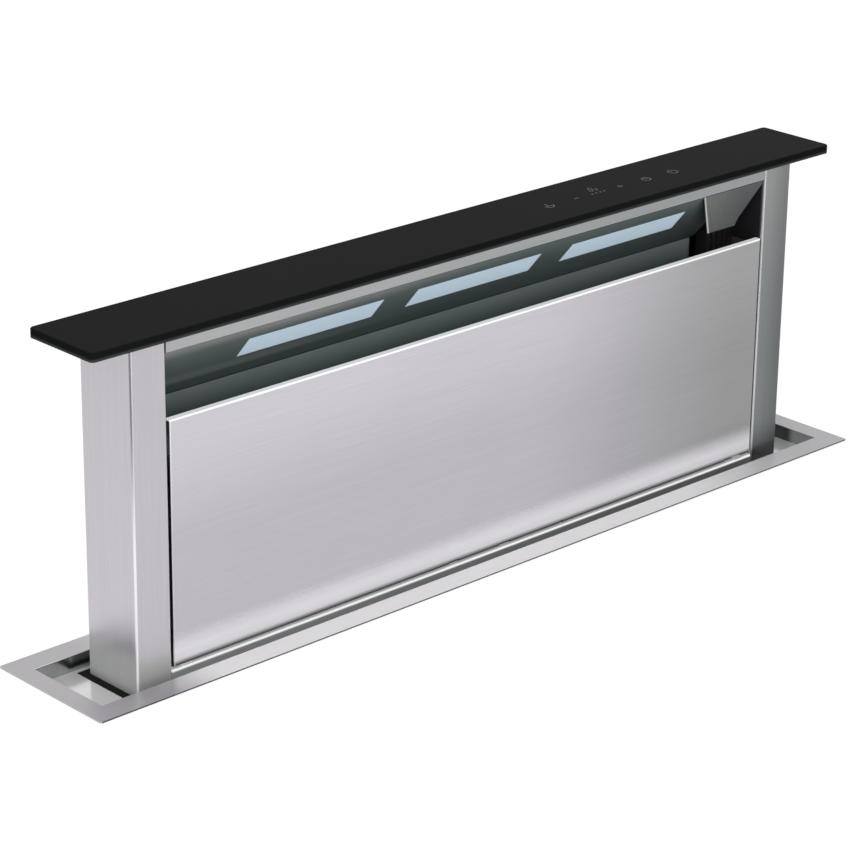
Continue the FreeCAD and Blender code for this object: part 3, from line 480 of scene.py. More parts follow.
def satin_glass(name, colour, band_top, band_foot_highlight):
    """Black printed glass: its edge is a dark band that turns lighter at the foot, a painted
    highlight.
    The band rises between two heights over the glass's underside, and the colour of the
    top takes over at its bevel."""
    material, tree, surface = new_finish(name, roughness=0.28, specular=0.004)
    low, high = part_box("glass_top")
    rise = share_between(tree, *(at_z(low.z + up) for up in GLASS_RISE))
    band = blend_colours(tree, rise, band_foot_highlight, band_top)
    above = share_between(tree, *(at_z(high.z - down) for down in GLASS_BEVEL))
    whole = blend_colours(tree, above, band, colour)
    skin = use_group(tree, moulding, {"Grains per metre": 700.0, "Contrast": 0.25})
    tones = [cloud_tone(tree, patches=4.0, contrast=0.35), skin["Tone"]]
    link(tree, tint(tree, whole, tones), surface["Base Color"])
    return material


def frosted_lens(name, colour):
    """Milky lamp window. Its weak emission is painted light that lifts it out of the shade of the
    recess.
    """
    material, tree, surface = new_finish(name, roughness=0.3, specular=0.5)
    skin = use_group(tree, moulding, {"Grains per metre": 1800.0, "Contrast": 0.05})
    tones = [skin["Tone"], cloud_tone(tree, patches=20.0, contrast=0.08)]
    link(tree, tint(tree, colour, tones), surface["Base Color"])
    # Painted light: the unlit window gives off light of its own.
    surface["Emission Color"].default_value = (*colour, 1.0)
    surface["Emission Strength"].default_value = 0.45
    return material


def plain_metal(name, colour, roughness, strokes=(900.0, 900.0, 900.0)):
    """Turned, drawn or pressed metal of small parts."""
    material, tree, surface = new_finish(name, metallic=1.0, roughness=roughness)
    grain = use_group(tree, brushing, {"Strokes per metre": strokes, "Contrast": 0.2})
    tones = [grain["Tone"], cloud_tone(tree, patches=25.0, contrast=0.12)]
    link(tree, tint(tree, colour, tones), surface["Base Color"])
    raise_surface(tree, surface, grain["Height"], strength=0.1, depth=0.00005)
    return material


# ---------------------------------------------------------------- finishes of the parts

# Stops of the fades, taken from the parts that they run along.
panel_low, panel_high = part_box("front_panel")
PANEL_LEFT = at_x(panel_low.x)
PANEL_RIGHT = at_x(panel_high.x)
PANEL_TOP = panel_high.z
LIP_SHADE_START = at_y(panel_low.y + 0.0050)
LIP_SHADE = at_y(panel_low.y + 0.0060)
HEAD_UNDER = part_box("head_bar")[0].z
COVER_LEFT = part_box("cable_cover")[0].x
# Left edge of the cable cover, where a painted highlight runs.
COVER_EDGE = Vector((COVER_LEFT + 0.0006, 0.0, HEAD_UNDER))
COVER_EDGE_INSIDE = COVER_EDGE + Vector((0.0014, 0.0, 0.0007))
# A fade from far behind the vent, which has reached 1 on every face of its front half.
FROM_BEHIND = (at_y(1.0), at_y(0.0))

# Painted light: darker towards the right and lighter towards the top, a painted highlight band
# above the foot with painted shade at the foot itself, a painted highlight along the top edge,
# and painted highlights on the bends.
panel_steel = brushed_steel(
    "panel_steel", (0.57, 0.55, 0.595), roughness=0.27,
    layers=[((0.35, 0.35, 0.355), at_x(0.02), PANEL_RIGHT)],
    tone=(0.2, at_z(0.10), at_z(PANEL_TOP)),
    painted_band=((0.86, 0.84, 0.88), at_z(0.036), at_z(0.016)),
    painted_shade_over_band=[((0.03, 0.04, 0.04), at_z(0.0105), at_z(0.0045))],
    painted_glint=(0.55, at_z(PANEL_TOP - 0.0020), at_z(PANEL_TOP - 0.0008)),
    bends=((0.62, 0.61, 0.64),),
)
# Painted light: darker and less mirroring at the foot, painted shade on the front faces, and
# bends painted as highlights low down and as shade higher up.
left_post_steel = brushed_steel(
    "left_post_steel", (0.66, 0.635, 0.675), strokes=ALONG_Z, metallic=0.85,
    painted_band=((0.44, 0.45, 0.44), at_z(0.036), at_z(0.006)),
    front=((0.58, 0.56, 0.60), at_z(0.014), at_z(0.024)),
    bends=((0.95, 0.95, 0.95), ((0.22, 0.22, 0.23), at_z(0.09), at_z(0.24))),
)
# Painted shade: front faces darker towards the foot and the face darker towards the right edge;
# bends painted lighter low down and darker higher up.
right_post_steel = brushed_steel(
    "right_post_steel", (0.50, 0.50, 0.51), strokes=ALONG_Z, metallic=0.9,
    front=((0.235, 0.25, 0.25), at_z(0.50), at_z(0.08)),
    tone=(-0.32, at_x(0.352), at_x(0.387)),
    bends=((0.60, 0.60, 0.61), ((0.40, 0.40, 0.41), at_z(0.06), at_z(0.20))),
)
# Painted shade: darker towards the right end.
bar_steel = brushed_steel(
    "bar_steel", (0.47, 0.475, 0.49),
    layers=[((0.37, 0.39, 0.40), PANEL_LEFT, PANEL_RIGHT)],
)
# Painted light: darker towards the right and near-black behind the panel (painted shade), a
# painted highlight along its top line, and painted highlights on the bends.
rail_steel = brushed_steel(
    "rail_steel", (0.62, 0.63, 0.64), metallic=0.45,
    layers=[((0.30, 0.31, 0.31), PANEL_LEFT, PANEL_RIGHT),
            ((0.02, 0.02, 0.02), LIP_SHADE_START, LIP_SHADE)],
    painted_glint=(0.25, at_z(-0.0010), at_z(0.0010), LIP_SHADE, LIP_SHADE_START),
    bends=((0.92, 0.92, 0.92),),
)
# Painted light: a painted highlight band from the left end onwards, painted shade back to grey
# towards the right end, near-black front faces as painted shade, and painted highlights on the
# bends.
rim_steel = brushed_steel(
    "rim_steel", (0.54, 0.52, 0.55), metallic=0.8, roughness=0.34,
    painted_band=((0.95, 0.94, 0.95), at_x(-0.390), at_x(-0.315)),
    painted_shade_over_band=[((0.56, 0.55, 0.57), at_x(0.20), at_x(0.41))],
    front=((0.06, 0.06, 0.062), *FROM_BEHIND),
    bends=((0.75, 0.75, 0.76),),
)
trough_floor_steel = brushed_steel(
    "trough_floor_steel", (0.92, 0.92, 0.93), roughness=0.18, contrast=0.14, metallic=0.5,
)
# Painted shade: near-black towards the back at the right end, beside the right post.
trough_wall_steel = brushed_steel(
    "trough_wall_steel", (0.40, 0.415, 0.41), strokes=ALONG_Z, roughness=0.2, contrast=0.5,
    layers=[((0.05, 0.062, 0.060), at_y(-0.018), at_y(-0.008), at_x(0.400), at_x(0.410))],
)
# Painted shade: darker towards the right.
rear_steel = brushed_steel(
    "rear_steel", (0.50, 0.49, 0.51),
    layers=[((0.44, 0.43, 0.45), PANEL_LEFT, PANEL_RIGHT)],
)
# Painted light: steel painted dark as painted shade, darker towards the top and inwards from the
# left, with a painted highlight along the left edge.
cover_steel = brushed_steel(
    "cover_steel", (0.085, 0.097, 0.090), roughness=0.4, strokes=ALONG_Z, contrast=0.5,
    layers=[((0.030, 0.042, 0.040), at_z(0.28), at_z(0.23)),
            ((0.016, 0.025, 0.024), at_x(COVER_LEFT + 0.008), at_x(COVER_LEFT + 0.060)),
            ((0.60, 0.62, 0.60), COVER_EDGE_INSIDE, COVER_EDGE)],
)
gutter_steel = brushed_steel("gutter_steel", (0.45, 0.45, 0.46))
zinc = zinc_coat("zinc", (0.50, 0.52, 0.54), crystals=130.0, contrast=0.19)
zinc_fine = zinc_coat("zinc_fine", (0.50, 0.51, 0.53), crystals=240.0, contrast=0.12)
# Painted shade and painted reflection: darker below the top, towards the right and near-black at
# the lowest edge, with a lighter painted band low down on the left.
plate_sheet = coated_sheet(
    "plate_sheet", (0.43, 0.43, 0.42), roughness=0.36,
    layers=[((0.22, 0.27, 0.265), at_z(0.272), at_z(0.260)),
            ((0.17, 0.215, 0.21), at_x(-0.25), at_x(0.10)),
            ((0.34, 0.39, 0.38), at_z(0.240), at_z(0.233), at_x(-0.06), at_x(-0.26)),
            ((0.16, 0.22, 0.21), at_z(0.231), at_z(0.226)),
            ((0.05, 0.07, 0.07), at_z(0.2185), at_z(0.2170))],
)
# Painted shade: darker lower down in the recess.
wall_sheet = coated_sheet(
    "wall_sheet", (0.46, 0.54, 0.53), roughness=0.4,
    layers=[((0.13, 0.19, 0.18), at_z(0.216), at_z(0.186))],
)
ledge_sheet = coated_sheet("ledge_sheet", (0.20, 0.22, 0.22))
# The edge band is painted lighter at its foot: a painted highlight.
top_glass = satin_glass(
    "top_glass", (0.0135, 0.0145, 0.0140), (0.0085, 0.0092, 0.0095), (0.045, 0.052, 0.050),
)
lens = frosted_lens("lens", (0.42, 0.52, 0.60))
symbol_print = moulded("symbol_print", (0.145, 0.145, 0.14), roughness=0.6)
board_green = moulded("board_green", (0.02, 0.12, 0.05), roughness=0.35, grains=700.0)
filter_aluminium = plain_metal("filter_aluminium", (0.62, 0.63, 0.64), 0.38)
rail_aluminium = plain_metal(
    "rail_aluminium", (0.66, 0.66, 0.67), 0.32, strokes=(1800.0, 1800.0, 12.0),
)
black_plastic = moulded("black_plastic", (0.020, 0.020, 0.022))
duct_plastic = moulded("duct_plastic", (0.012, 0.012, 0.014), roughness=0.5)
grey_plastic = moulded("grey_plastic", (0.30, 0.31, 0.32))
nylon = moulded("nylon", (0.74, 0.73, 0.69), roughness=0.35)
rubber = moulded("rubber", (0.018, 0.018, 0.018), roughness=0.7, grains=2500.0)
foam = moulded("foam", (0.03, 0.03, 0.032), roughness=0.9, grains=3000.0, specular=0.2)
bright_steel = plain_metal("bright_steel", (0.62, 0.62, 0.63), 0.22)
motor_paint = moulded("motor_paint", (0.022, 0.023, 0.025), roughness=0.32, grains=900.0)

FINISHES = {
    panel_steel: ["front_panel"],
    left_post_steel: ["left_post"],
    right_post_steel: ["right_post"],
    bar_steel: ["head_bar"],
    rail_steel: ["bottom_rail"],
    rim_steel: ["worktop_frame"],
    trough_floor_steel: ["trough_floor"],
    trough_wall_steel: ["trough_walls"],
    rear_steel: ["rear_panel"],
    cover_steel: ["cable_cover"],
    gutter_steel: ["grease_gutter"],
    zinc: ["casing_front", "casing_back", "casing_right", "casing_left", "casing_floor",
           "blower_box", "blower_cover", "lower_skin"],
    zinc_fine: ["worktop_clamps", "feet", "inlet_ring", "glass_carrier"],
    plate_sheet: ["lamp_plate"],
    wall_sheet: ["inner_wall"],
    ledge_sheet: ["filter_ledge"],
    top_glass: ["glass_top"],
    lens: ["lamp_windows"],
    board_green: ["control_circuit", "control_board"],
    filter_aluminium: ["filter_frames", "filter_meshes", "led_modules", "drive_pulleys"],
    rail_aluminium: ["guide_rails"],
    black_plastic: ["shaft_bearings", "volute_back", "volute_front", "outlet_collar",
                    "cable_gland", "belt_clamps", "blower_wheel", "damper_flap_front",
                    "damper_flap_back"],
    duct_plastic: ["cable_duct"],
    grey_plastic: ["lift_gearbox", "control_tray", "control_lid"],
    nylon: ["glide_shoes", "idler_pulleys"],
    rubber: ["belts"],
    foam: ["frame_seal"],
    bright_steel: ["casing_screws", "idler_pins", "damper_pin", "damper_spring",
                   "cross_shaft", "wheel_shaft"],
    motor_paint: ["lift_motor", "blower_motor"],
}


def finish_parts():
    """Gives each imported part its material."""
    done = set()
    for material, names in FINISHES.items():
        for name in names:
            slots = nodes[name].data.materials
            for number in range(max(1, len(slots))):
                if number < len(slots):
                    slots[number] = material
                else:
                    slots.append(material)
            done.add(name)
    left = sorted(set(nodes) - done)
    if left:
        raise ValueError(f"parts without a finish: {left}")


# ---------------------------------------------------------------- floor, worktop, light

FLOOR_HALF = 9.0
SLAB_LEFT = -0.640
SLAB_RIGHT = 0.520
SLAB_FRONT = -0.610
SLAB_BACK = 0.150
SLAB_THICKNESS = 0.038
CUT_HALF_LENGTH = 0.4375
CUT_HALF_DEPTH = 0.052
STAGE_MIRRORED = 0.30


def stage_white(name, colour, seen):
    """Pale stage surface that reads as white and still takes the shadow of the part.
    seen is how much light of its own it shows to the camera."""
    material, tree, surface = new_finish(name, roughness=0.8, specular=0.1)
    surface["Base Color"].default_value = (*colour, 1.0)
    path = add(tree, "LightPath")
    direct = maths(tree, "MULTIPLY", path.outputs["Is Camera Ray"], seen)
    mirror = maths(tree, "MAXIMUM", path.outputs["Is Glossy Ray"],
                   path.outputs["Is Transmission Ray"])
    reflected = maths(tree, "MULTIPLY", mirror, STAGE_MIRRORED)
    surface["Emission Color"].default_value = (1.0, 1.0, 1.0, 1.0)
    link(tree, maths(tree, "ADD", direct, reflected), surface["Emission Strength"])
    return material


def new_piece(name, mesh_builder, material):
    """Object whose mesh is filled by mesh_builder(bmesh)."""
    mesh = bpy.data.meshes.new(name)
    build = bmesh.new()
    mesh_builder(build)
    bmesh.ops.recalc_face_normals(build, faces=build.faces)
    build.to_mesh(mesh)
    build.free()
    mesh.materials.append(material)
    piece = bpy.data.objects.new(name, mesh)
    bpy.context.scene.collection.objects.link(piece)
    return piece


def add_block(build, low, high):
    """Closed block between two corners."""
    stretch = Matrix.Diagonal([b - a for a, b in zip(low, high)]).to_4x4()
    middle = Vector([(a + b) / 2 for a, b in zip(low, high)])
    bmesh.ops.create_cube(build, size=1.0, matrix=Matrix.Translation(middle) @ stretch)


def join_rings(build, lower, upper, smooth=False):
    """Faces between two rings that have the same number of points."""
    for n in range(len(lower)):
        following = (n + 1) % len(lower)
        face = build.faces.new((lower[n], lower[following], upper[following], upper[n]))
        face.smooth = smooth


def round_point(centre, radius, angle):
    """Point at an angle in radians round a centre in the plane."""
    return (centre[0] + radius * math.cos(angle), centre[1] + radius * math.sin(angle))


def build_floor(build):
    """Wide plane under the feet of the casing."""
    floor_z = cad_box[0][2]
    corners = [(-1, -1), (1, -1), (1, 1), (-1, 1)]
    build.faces.new([build.verts.new((x * FLOOR_HALF, y * FLOOR_HALF, floor_z))
                     for x, y in corners])


def build_slab(build):
    """Worktop with the cut-out for the vent, as four blocks round the hole."""
    top = 0.0
    under = -SLAB_THICKNESS
    add_block(build, (SLAB_LEFT, SLAB_FRONT, under), (SLAB_RIGHT, -CUT_HALF_DEPTH, top))
    add_block(build, (SLAB_LEFT, CUT_HALF_DEPTH, under), (SLAB_RIGHT, SLAB_BACK, top))
    add_block(build, (SLAB_LEFT, -CUT_HALF_DEPTH, under),
              (-CUT_HALF_LENGTH, CUT_HALF_DEPTH, top))
    add_block(build, (CUT_HALF_LENGTH, -CUT_HALF_DEPTH, under),
              (SLAB_RIGHT, CUT_HALF_DEPTH, top))


def build_stage():
    """Floor and worktop, which aren't part of the vent."""
    floor_white = stage_white("floor_white", (0.80, 0.80, 0.80), seen=0.52)
    slab_white = stage_white("slab_white", (0.80, 0.80, 0.80), seen=0.55)
    # Painted shade: the worktop's sides and underside are a darker copy of its white top.
    slab_side_shade = stage_white("slab_side_shade", (0.42, 0.42, 0.42), seen=0.0)
    floor = new_piece("floor", build_floor, floor_white)
    worktop = new_piece("worktop", build_slab, slab_white)
    worktop.data.materials.append(slab_side_shade)
    for face in worktop.data.polygons:
        faces_up = face.normal.z > 0.5
        face.material_index = 0 if faces_up else 1


WORLD_LIGHT = 0.58
WORLD_MIRRORED = 0.82
WORLD_SEEN = 1.0


def light_world():
    """White studio: full white where it is seen, lower where it is mirrored or lights."""
    world = bpy.data.worlds.new("studio")
    world.use_nodes = True
    tree = world.node_tree
    tree.nodes.clear()
    path = add(tree, "LightPath")
    mirrored = maths(tree, "MAXIMUM", path.outputs["Is Glossy Ray"],
                     path.outputs["Is Transmission Ray"])
    level = add(tree, "Mix", {"A": WORLD_LIGHT, "B": WORLD_MIRRORED}, data_type="FLOAT")
    link(tree, mirrored, level.inputs["Factor"])
    shown = add(tree, "Mix", {"B": WORLD_SEEN}, data_type="FLOAT")
    link(tree, path.outputs["Is Camera Ray"], shown.inputs["Factor"])
    link(tree, level.outputs[0], shown.inputs["A"])
    sky = add(tree, "Background", {"Color": (1.0, 1.0, 1.0, 1.0)})
    link(tree, shown.outputs[0], sky.inputs["Strength"])
    end = add(tree, "OutputWorld")
    link(tree, sky.outputs[0], end.inputs["Surface"])
    bpy.context.scene.world = world


def add_lamp(name, place, aim, width, power):
    """Square soft box that points at aim."""
    light = bpy.data.lights.new(name, "AREA")
    light.size = width
    light.energy = power
    lamp = bpy.data.objects.new(name, light)
    lamp.location = place
    direction = Vector(aim) - Vector(place)
    lamp.rotation_euler = direction.to_track_quat("-Z", "Y").to_euler()
    bpy.context.scene.collection.objects.link(lamp)


def light_stage():
    """Studio world, a large soft key light, and a low one for the front below the worktop."""
    light_world()
    add_lamp("key_lamp", (-2.2, -2.6, 2.6), aim=(0.0, 0.0, 0.0), width=3.6, power=60.0)
    add_lamp("low_lamp", (-1.2, -3.2, -0.2), aim=(0.0, 0.0, -0.4), width=1.6, power=22.0)


# ---------------------------------------------------------------- touch symbols

SYMBOL_PROUD = 0.00004
SYMBOL_SINK = 0.0002
SYMBOL_LINE = 0.0010
SYMBOL_ROW = -0.0048
DOT_RADIUS = 0.0011
DOT_STEPS = 16
ARC_STEPS = 28
ARC_STEPS_LEAST = 6


def add_outline(build, points, top_z):
    """Flat raised shape from a closed outline in the plane of the glass."""
    lower = [build.verts.new((x, y, top_z - SYMBOL_SINK)) for x, y in points]
    upper = [build.verts.new((x, y, top_z + SYMBOL_PROUD)) for x, y in points]
    build.faces.new(lower)
    build.faces.new(upper)
    join_rings(build, lower, upper)


def add_stroke(build, start, end, top_z):
    """Straight printed line."""
    along = Vector((end[0] - start[0], end[1] - start[1])).normalized() * SYMBOL_LINE / 2
    across = Vector((-along.y, along.x))
    near = Vector(start) - along
    far = Vector(end) + along
    add_outline(build, [near - across, far - across, far + across, near + across], top_z)


def add_arc(build, centre, radius, first, last, top_z):
    """Printed arc between two angles in degrees."""
    steps = max(ARC_STEPS_LEAST, int(ARC_STEPS * abs(last - first) / 360))
    angles = [math.radians(first + (last - first) * n / steps) for n in range(steps + 1)]
    outer = [round_point(centre, radius + SYMBOL_LINE / 2, angle) for angle in angles]
    inner = [round_point(centre, radius - SYMBOL_LINE / 2, angle) for angle in angles]
    for n in range(steps):
        add_outline(build, [outer[n], outer[n + 1], inner[n + 1], inner[n]], top_z)


def add_dot(build, centre, top_z):
    """Printed round dot."""
    add_outline(build, [round_point(centre, DOT_RADIUS, math.tau * n / DOT_STEPS)
                        for n in range(DOT_STEPS)], top_z)


def touch_symbols():
    """Generic touch keys on the right half of the glass, from the lamp key to the power key."""
    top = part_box("glass_top")[1].z
    row = SYMBOL_ROW

    def lamp(build):
        x = 0.096
        shade = 0.0044
        brim = 0.0052
        stem = 0.0060
        add_arc(build, (x, row), shade, 180, 360, top)
        add_stroke(build, (x - brim, row), (x + brim, row), top)
        add_stroke(build, (x, row), (x, row + stem), top)

    def minus(build):
        left = 0.1278
        right = 0.1322
        add_stroke(build, (left, row), (right, row), top)

    def fan(build):
        hub = (0.159, 0.0045)
        reach = 0.0030
        blade = 0.0018
        add_dot(build, hub, top)
        half_sweep = 110
        for turn in (90, 210, 330):
            middle = round_point(hub, reach, math.radians(turn))
            add_arc(build, middle, blade, turn - half_sweep, turn + half_sweep, top)

    def plus(build):
        x = 0.1850
        arm = 0.0024
        add_stroke(build, (x - arm, row), (x + arm, row), top)
        add_stroke(build, (x, row - arm), (x, row + arm), top)

    def timer(build):
        x = 0.219
        dial = 0.0042
        long_hand = 0.0026
        short_hand = 0.0018
        add_arc(build, (x, row), dial, 0, 360, top)
        add_stroke(build, (x, row), (x, row + long_hand), top)
        add_stroke(build, (x, row), (x + short_hand, row), top)

    def power(build):
        x = 0.254
        ring = 0.0046
        bar_start = 0.0012
        bar_end = 0.0056
        add_arc(build, (x, row), ring, -240, 60, top)
        add_stroke(build, (x, row + bar_start), (x, row + bar_end), top)

    def levels(build):
        first = 0.1495
        pitch = 0.005
        y = -0.0052
        for number in range(4):
            add_dot(build, (first + pitch * number, y), top)

    for name, builder in (("symbol_lamp", lamp), ("symbol_minus", minus), ("symbol_fan", fan),
                          ("symbol_plus", plus), ("symbol_timer", timer),
                          ("symbol_power", power), ("symbol_levels", levels)):
        symbol = new_piece(name, builder, symbol_print)
        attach(symbol, "column")


# ---------------------------------------------------------------- machine below the worktop

casing_low, casing_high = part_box("casing_back")
CASING_FACE = casing_high.y
CASING_HALF = casing_high.x
CASING_TOP = casing_high.z
CASING_FOOT = casing_low.z
COVER_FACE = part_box("blower_cover")[0].y
SCREW_INSET = 0.008
SCREW_COLUMNS = (-0.380, -0.190, 0.0, 0.190, 0.380)
COVER_SCREW_COLUMNS = (-0.184, 0.0, 0.184)
COVER_SCREW_LEVELS = (-0.672, -0.348)
SCREW_RADIUS = 0.0040
SCREW_HEIGHT = 0.0024
# Shares of the radius and of the height, from the seat to the crown.
SCREW_PROFILE = ((0.0, 0.0), (1.0, 0.0), (1.0, 0.35), (0.93, 0.72), (0.78, 0.93), (0.6, 1.0),
                 (0.0, 1.0))
RECESS_ARM = SCREW_RADIUS * 0.5
RECESS_HALF = SCREW_RADIUS * 0.11
RECESS_PROUD = 0.00003
RECESS_DEPTH = 4 * RECESS_PROUD
LINE_END_STEPS = 8
SWAGE_WIDTH = 0.018
SWAGE_HEIGHT = 0.0026
# Shares of the bead's half width, from its foot to its crown.
SWAGE_SHARES = (1.0, 0.85, 0.65, 0.4, 0.15)

# Near-black: painted shade for the screw recesses and lid slots, and the dark parting line of the
# lid.
shade_and_seam_black = moulded("shade_and_seam_black", (0.010, 0.010, 0.011), roughness=0.6)
# Black rubber, whose near-black also stands for the shaded slot round the column: partly painted
# shade.
wiper_rubber_and_slot_shade = moulded("wiper_rubber_and_slot_shade", (0.006, 0.006, 0.006), roughness=0.7, specular=0.15)


def add_turned(build, outline, origin, axis, steps=24):
    """Turned solid. The outline is (radius, along) from one end of the axis to the other."""
    turn = Vector((0, 0, 1)).rotation_difference(Vector(axis)).to_matrix().to_4x4()
    place = Matrix.Translation(origin) @ turn
    rings = []
    for radius, along in outline:
        count = steps if radius > 0 else 1
        rings.append([build.verts.new(place @ Vector((
            radius * math.cos(math.tau * n / steps), radius * math.sin(math.tau * n / steps),
            along))) for n in range(count)])
    for lower, upper in zip(rings, rings[1:]):
        for n in range(steps):
            following = n + 1
            corners = [lower[n % len(lower)], lower[following % len(lower)],
                       upper[following % len(upper)], upper[n % len(upper)]]
            face = build.faces.new(list(dict.fromkeys(corners)))
            face.smooth = True


def around_line(start, end, radius):
    """Closed outline at one distance from the line between two points of a flat face."""
    start = Vector(start)
    end = Vector(end)
    along = (end - start).normalized()
    heading = math.atan2(along.y, along.x)
    points = []
    for centre, first in ((end, heading - math.pi / 2), (start, heading + math.pi / 2)):
        for n in range(LINE_END_STEPS + 1):
            points.append(round_point(centre, radius, first + math.pi * n / LINE_END_STEPS))
    return points


def add_swage(build, start, end, face_y, outward):
    """Pressed bead with round ends. start and end are (x, z) on a sheet at face_y."""
    rings = []
    for share in SWAGE_SHARES:
        y = face_y + outward * SWAGE_HEIGHT * math.cos(math.pi / 2 * share)
        outline = around_line(start, end, SWAGE_WIDTH / 2 * share)
        rings.append([build.verts.new((x, y, z)) for x, z in outline])
    for lower, upper in zip(rings, rings[1:]):
        join_rings(build, lower, upper, smooth=True)
    build.faces.new(rings[-1])


def column_wiper():
    """Rubber lip on the trough floor, all round the foot of the column; its near-black also
    stands for the shaded slot there, painted shade.
    """
    floor_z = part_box("trough_floor")[1].z
    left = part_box("left_post")[0]
    play = 0.0003
    # Each point is (out from the column, up from the floor).
    profile = [(play, 0.0), (play, 0.0010), (play + 0.0004, 0.0014), (play + 0.0016, 0.0009),
               (0.0060, 0.0007), (0.0068, 0.0004), (0.0070, 0.0)]

    def lip(build):
        rings = []
        for out, up in profile:
            x = -left.x + out
            y = -left.y + out
            rings.append([build.verts.new((px, py, floor_z + up))
                          for px, py in ((-x, -y), (x, -y), (x, y), (-x, y))])
        for inner, outer in zip(rings, rings[1:] + rings[:1]):
            join_rings(build, inner, outer)

    piece = new_piece("column_wiper", lip, wiper_rubber_and_slot_shade)
    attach(piece, "base")


def add_screw(build, x, y, z, outward):
    """Pan head with a rounded shoulder."""
    outline = [(SCREW_RADIUS * out, SCREW_HEIGHT * up) for out, up in SCREW_PROFILE]
    add_turned(build, outline, (x, y, z), (0, outward, 0))


def add_recess(build, x, y, z, outward):
    """Dark cross in the crown of a screw: painted shade for the recess."""
    low_y = y + outward * (SCREW_HEIGHT - RECESS_DEPTH)
    high_y = y + outward * (SCREW_HEIGHT + RECESS_PROUD)
    near, far = sorted((low_y, high_y))
    for wide, tall in ((RECESS_ARM, RECESS_HALF), (RECESS_HALF, RECESS_ARM)):
        add_block(build, (x - wide, near, z - tall), (x + wide, far, z + tall))


def screw_places():
    """Places (x, y, z, outward) of the heads on the casing and round the blower cover."""
    places = []
    for x in SCREW_COLUMNS:
        for z in (CASING_TOP - SCREW_INSET, CASING_FOOT + SCREW_INSET):
            places.append((x, CASING_FACE, z, 1))
            places.append((x, -CASING_FACE, z, -1))
    for x in COVER_SCREW_COLUMNS:
        places.extend((x, COVER_FACE, z, -1) for z in COVER_SCREW_LEVELS)
    return places


def casing_screw_heads():
    """Heads in place of the plain ones, with the crosses in their crowns."""
    def heads(build):
        for place in screw_places():
            add_screw(build, *place)

    def recesses(build):
        for place in screw_places():
            add_recess(build, *place)

    screws = new_piece("screw_heads", heads, bright_steel)
    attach(screws, "base")
    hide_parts("casing_screws")
    crosses = new_piece("screw_recesses", recesses, shade_and_seam_black)
    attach(crosses, "base")


def casing_swages():
    """Stiffening beads pressed into the casing's long sheets."""
    reach = 0.340
    back_levels = (-0.150, -0.330, -0.510)
    front_level = -0.150
    upright_places = (-0.320, 0.300)
    upright_top = -0.220
    upright_foot = -0.380

    def beads(build):
        for z in back_levels:
            add_swage(build, (-reach, z), (reach, z), CASING_FACE, 1)
        add_swage(build, (-reach, front_level), (reach, front_level), -CASING_FACE, -1)
        for x in upright_places:
            add_swage(build, (x, upright_top), (x, upright_foot), -CASING_FACE, -1)

    piece = new_piece("casing_beads", beads, zinc)
    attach(piece, "base")


def casing_seams():
    """Flanges of the end sheets, folded over the long sheets and riveted."""
    flange = 0.018
    thick = 0.0008
    flange_foot = CASING_FOOT + 0.11
    flange_top = CASING_TOP - 0.032
    lowest_rivet = CASING_FOOT + 0.14
    rivet_pitch = 0.09
    rivet_levels = [lowest_rivet + rivet_pitch * n for n in range(6)]
    dome = [(0.0, 0.0), (0.0030, 0.0), (0.0028, 0.0005), (0.0020, 0.0010), (0.0, 0.0013)]

    def flanges(build):
        for side in (-1, 1):
            inner, outer = sorted((side * (CASING_HALF - flange), side * CASING_HALF))
            for outward in (-1, 1):
                near, far = sorted((outward * CASING_FACE, outward * (CASING_FACE + thick)))
                add_block(build, (inner, near, flange_foot), (outer, far, flange_top))

    def rivets(build):
        for side in (-1, 1):
            for outward in (-1, 1):
                for z in rivet_levels:
                    origin = (side * (CASING_HALF - flange / 2),
                              outward * (CASING_FACE + thick), z)
                    add_turned(build, dome, origin, (0, outward, 0), steps=16)

    for name, builder, material, slot in (
            ("casing_flanges", flanges, zinc, "galvanised"),
            ("casing_rivets", rivets, bright_steel, "bright_steel")):
        piece = new_piece(name, builder, material)
        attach(piece, "base")


def blower_cover_rim():
    """Turned-back edge of the cover, round the front of the blower box."""
    low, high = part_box("blower_cover")
    thick = 0.0008
    depth = 0.012
    fold = 0.0006
    worn_edge = 0.0003

    def rim(build):
        front = low.y + fold
        back = low.y + depth
        add_block(build, (low.x - thick, front, high.z), (high.x + thick, back, high.z + thick))
        add_block(build, (low.x - thick, front, low.z - thick), (high.x + thick, back, low.z))
        add_block(build, (low.x - thick, front, low.z), (low.x, back, high.z))
        add_block(build, (high.x, front, low.z), (high.x + thick, back, high.z))
        bmesh.ops.bevel(build, geom=list(build.edges), offset=worn_edge, segments=2,
                        affect="EDGES")

    piece = new_piece("blower_cover_rim", rim, zinc)
    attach(piece, "base")


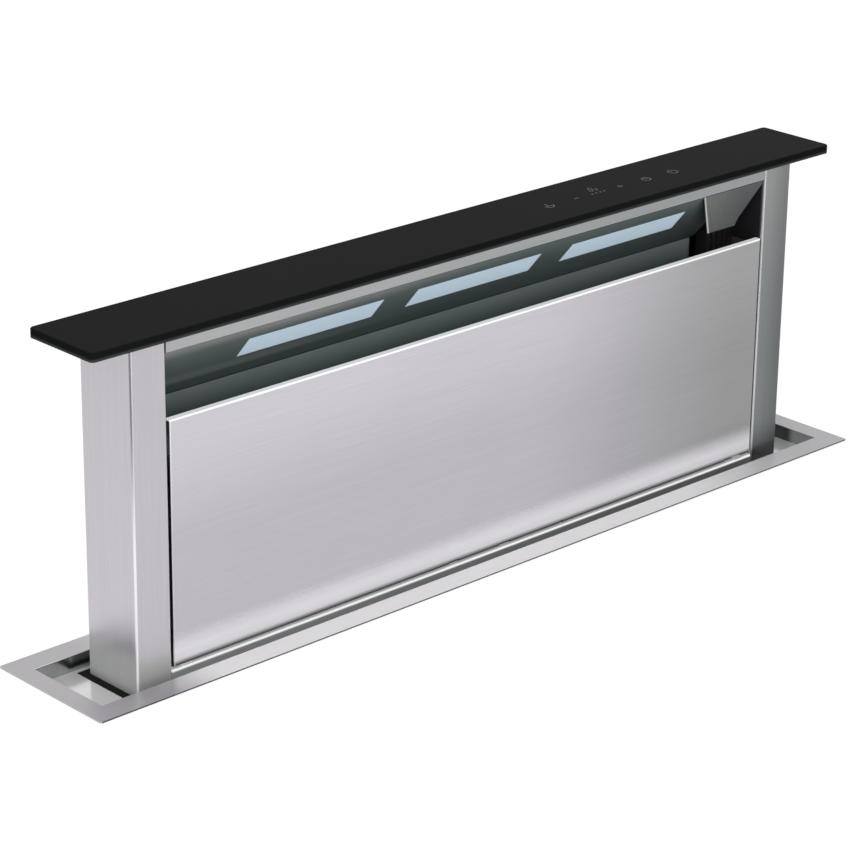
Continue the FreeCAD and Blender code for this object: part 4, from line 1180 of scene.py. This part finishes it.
def collar_beads():
    """Rounded beads that hold the duct hose on the collar."""
    low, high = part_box("outlet_collar")
    middle = (low + high) / 2
    spigot = 0.0750
    sink = 0.0002
    bead_height = 0.0012
    bead_half = 0.0018
    bead_steps = 6
    bead_places = (0.0015, 0.0120, 0.0225, 0.0330)
    outline = [(spigot - sink, 0.0)]
    for n in range(bead_steps + 1):
        angle = math.pi * n / bead_steps
        outline.append((spigot + bead_height * math.sin(angle),
                        bead_half * (1 - math.cos(angle))))
    outline.append((spigot - sink, bead_half * 2))

    def beads(build):
        for along in bead_places:
            add_turned(build, outline, (low.x + along, middle.y, middle.z), (1, 0, 0), steps=96)

    piece = new_piece("collar_beads", beads, black_plastic)
    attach(piece, "base")


def control_lid_details():
    """Corner screws, parting line and air slots on the control box."""
    low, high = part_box("control_lid")
    inset = 0.009
    head = [(0.0, 0.0), (0.0032, 0.0), (0.0032, 0.0008), (0.0026, 0.0014), (0.0, 0.0015)]
    corners = [(x, low.y, z) for x in (low.x + inset, high.x - inset)
               for z in (low.z + inset, high.z - inset)]
    highest_slot = high.z - 0.030
    slot_pitch = 0.0075
    slot_levels = [highest_slot - slot_pitch * n for n in range(7)]
    slot_left = low.x + 0.100
    slot_right = low.x + 0.146
    slot_half = 0.0015
    slot_depth = 0.0004

    def heads(build):
        for corner in corners:
            add_turned(build, head, corner, (0, -1, 0))

    def openings(build):
        # Dark slots in place of the openings: painted shade.
        for z in slot_levels:
            outline = around_line((slot_left, z), (slot_right, z), slot_half)
            shallow = [build.verts.new((px, low.y - RECESS_PROUD, pz)) for px, pz in outline]
            deep = [build.verts.new((px, low.y + slot_depth, pz)) for px, pz in outline]
            build.faces.new(shallow)
            build.faces.new(deep)
            join_rings(build, shallow, deep)
        seam_y = high.y
        line = 0.0004
        proud = 0.00004
        for z in (low.z - proud, high.z):
            add_block(build, (low.x, seam_y - line, z), (high.x, seam_y + line, z + proud))
        for x in (low.x - proud, high.x):
            add_block(build, (x, seam_y - line, low.z), (x + proud, seam_y + line, high.z))

    for name, builder, material, slot in (
            ("control_lid_screws", heads, bright_steel, "bright_steel"),
            ("control_lid_slots", openings, shade_and_seam_black, "black_plastic")):
        piece = new_piece(name, builder, material)
        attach(piece, "base")


# ---------------------------------------------------------------- everything in place

place_camera()
build_stage()
light_stage()
finish_parts()
touch_symbols()
column_wiper()
casing_screw_heads()
casing_swages()
casing_seams()
blower_cover_rim()
collar_beads()
control_lid_details()

scene = bpy.context.scene
scene.view_settings.view_transform = "Standard"
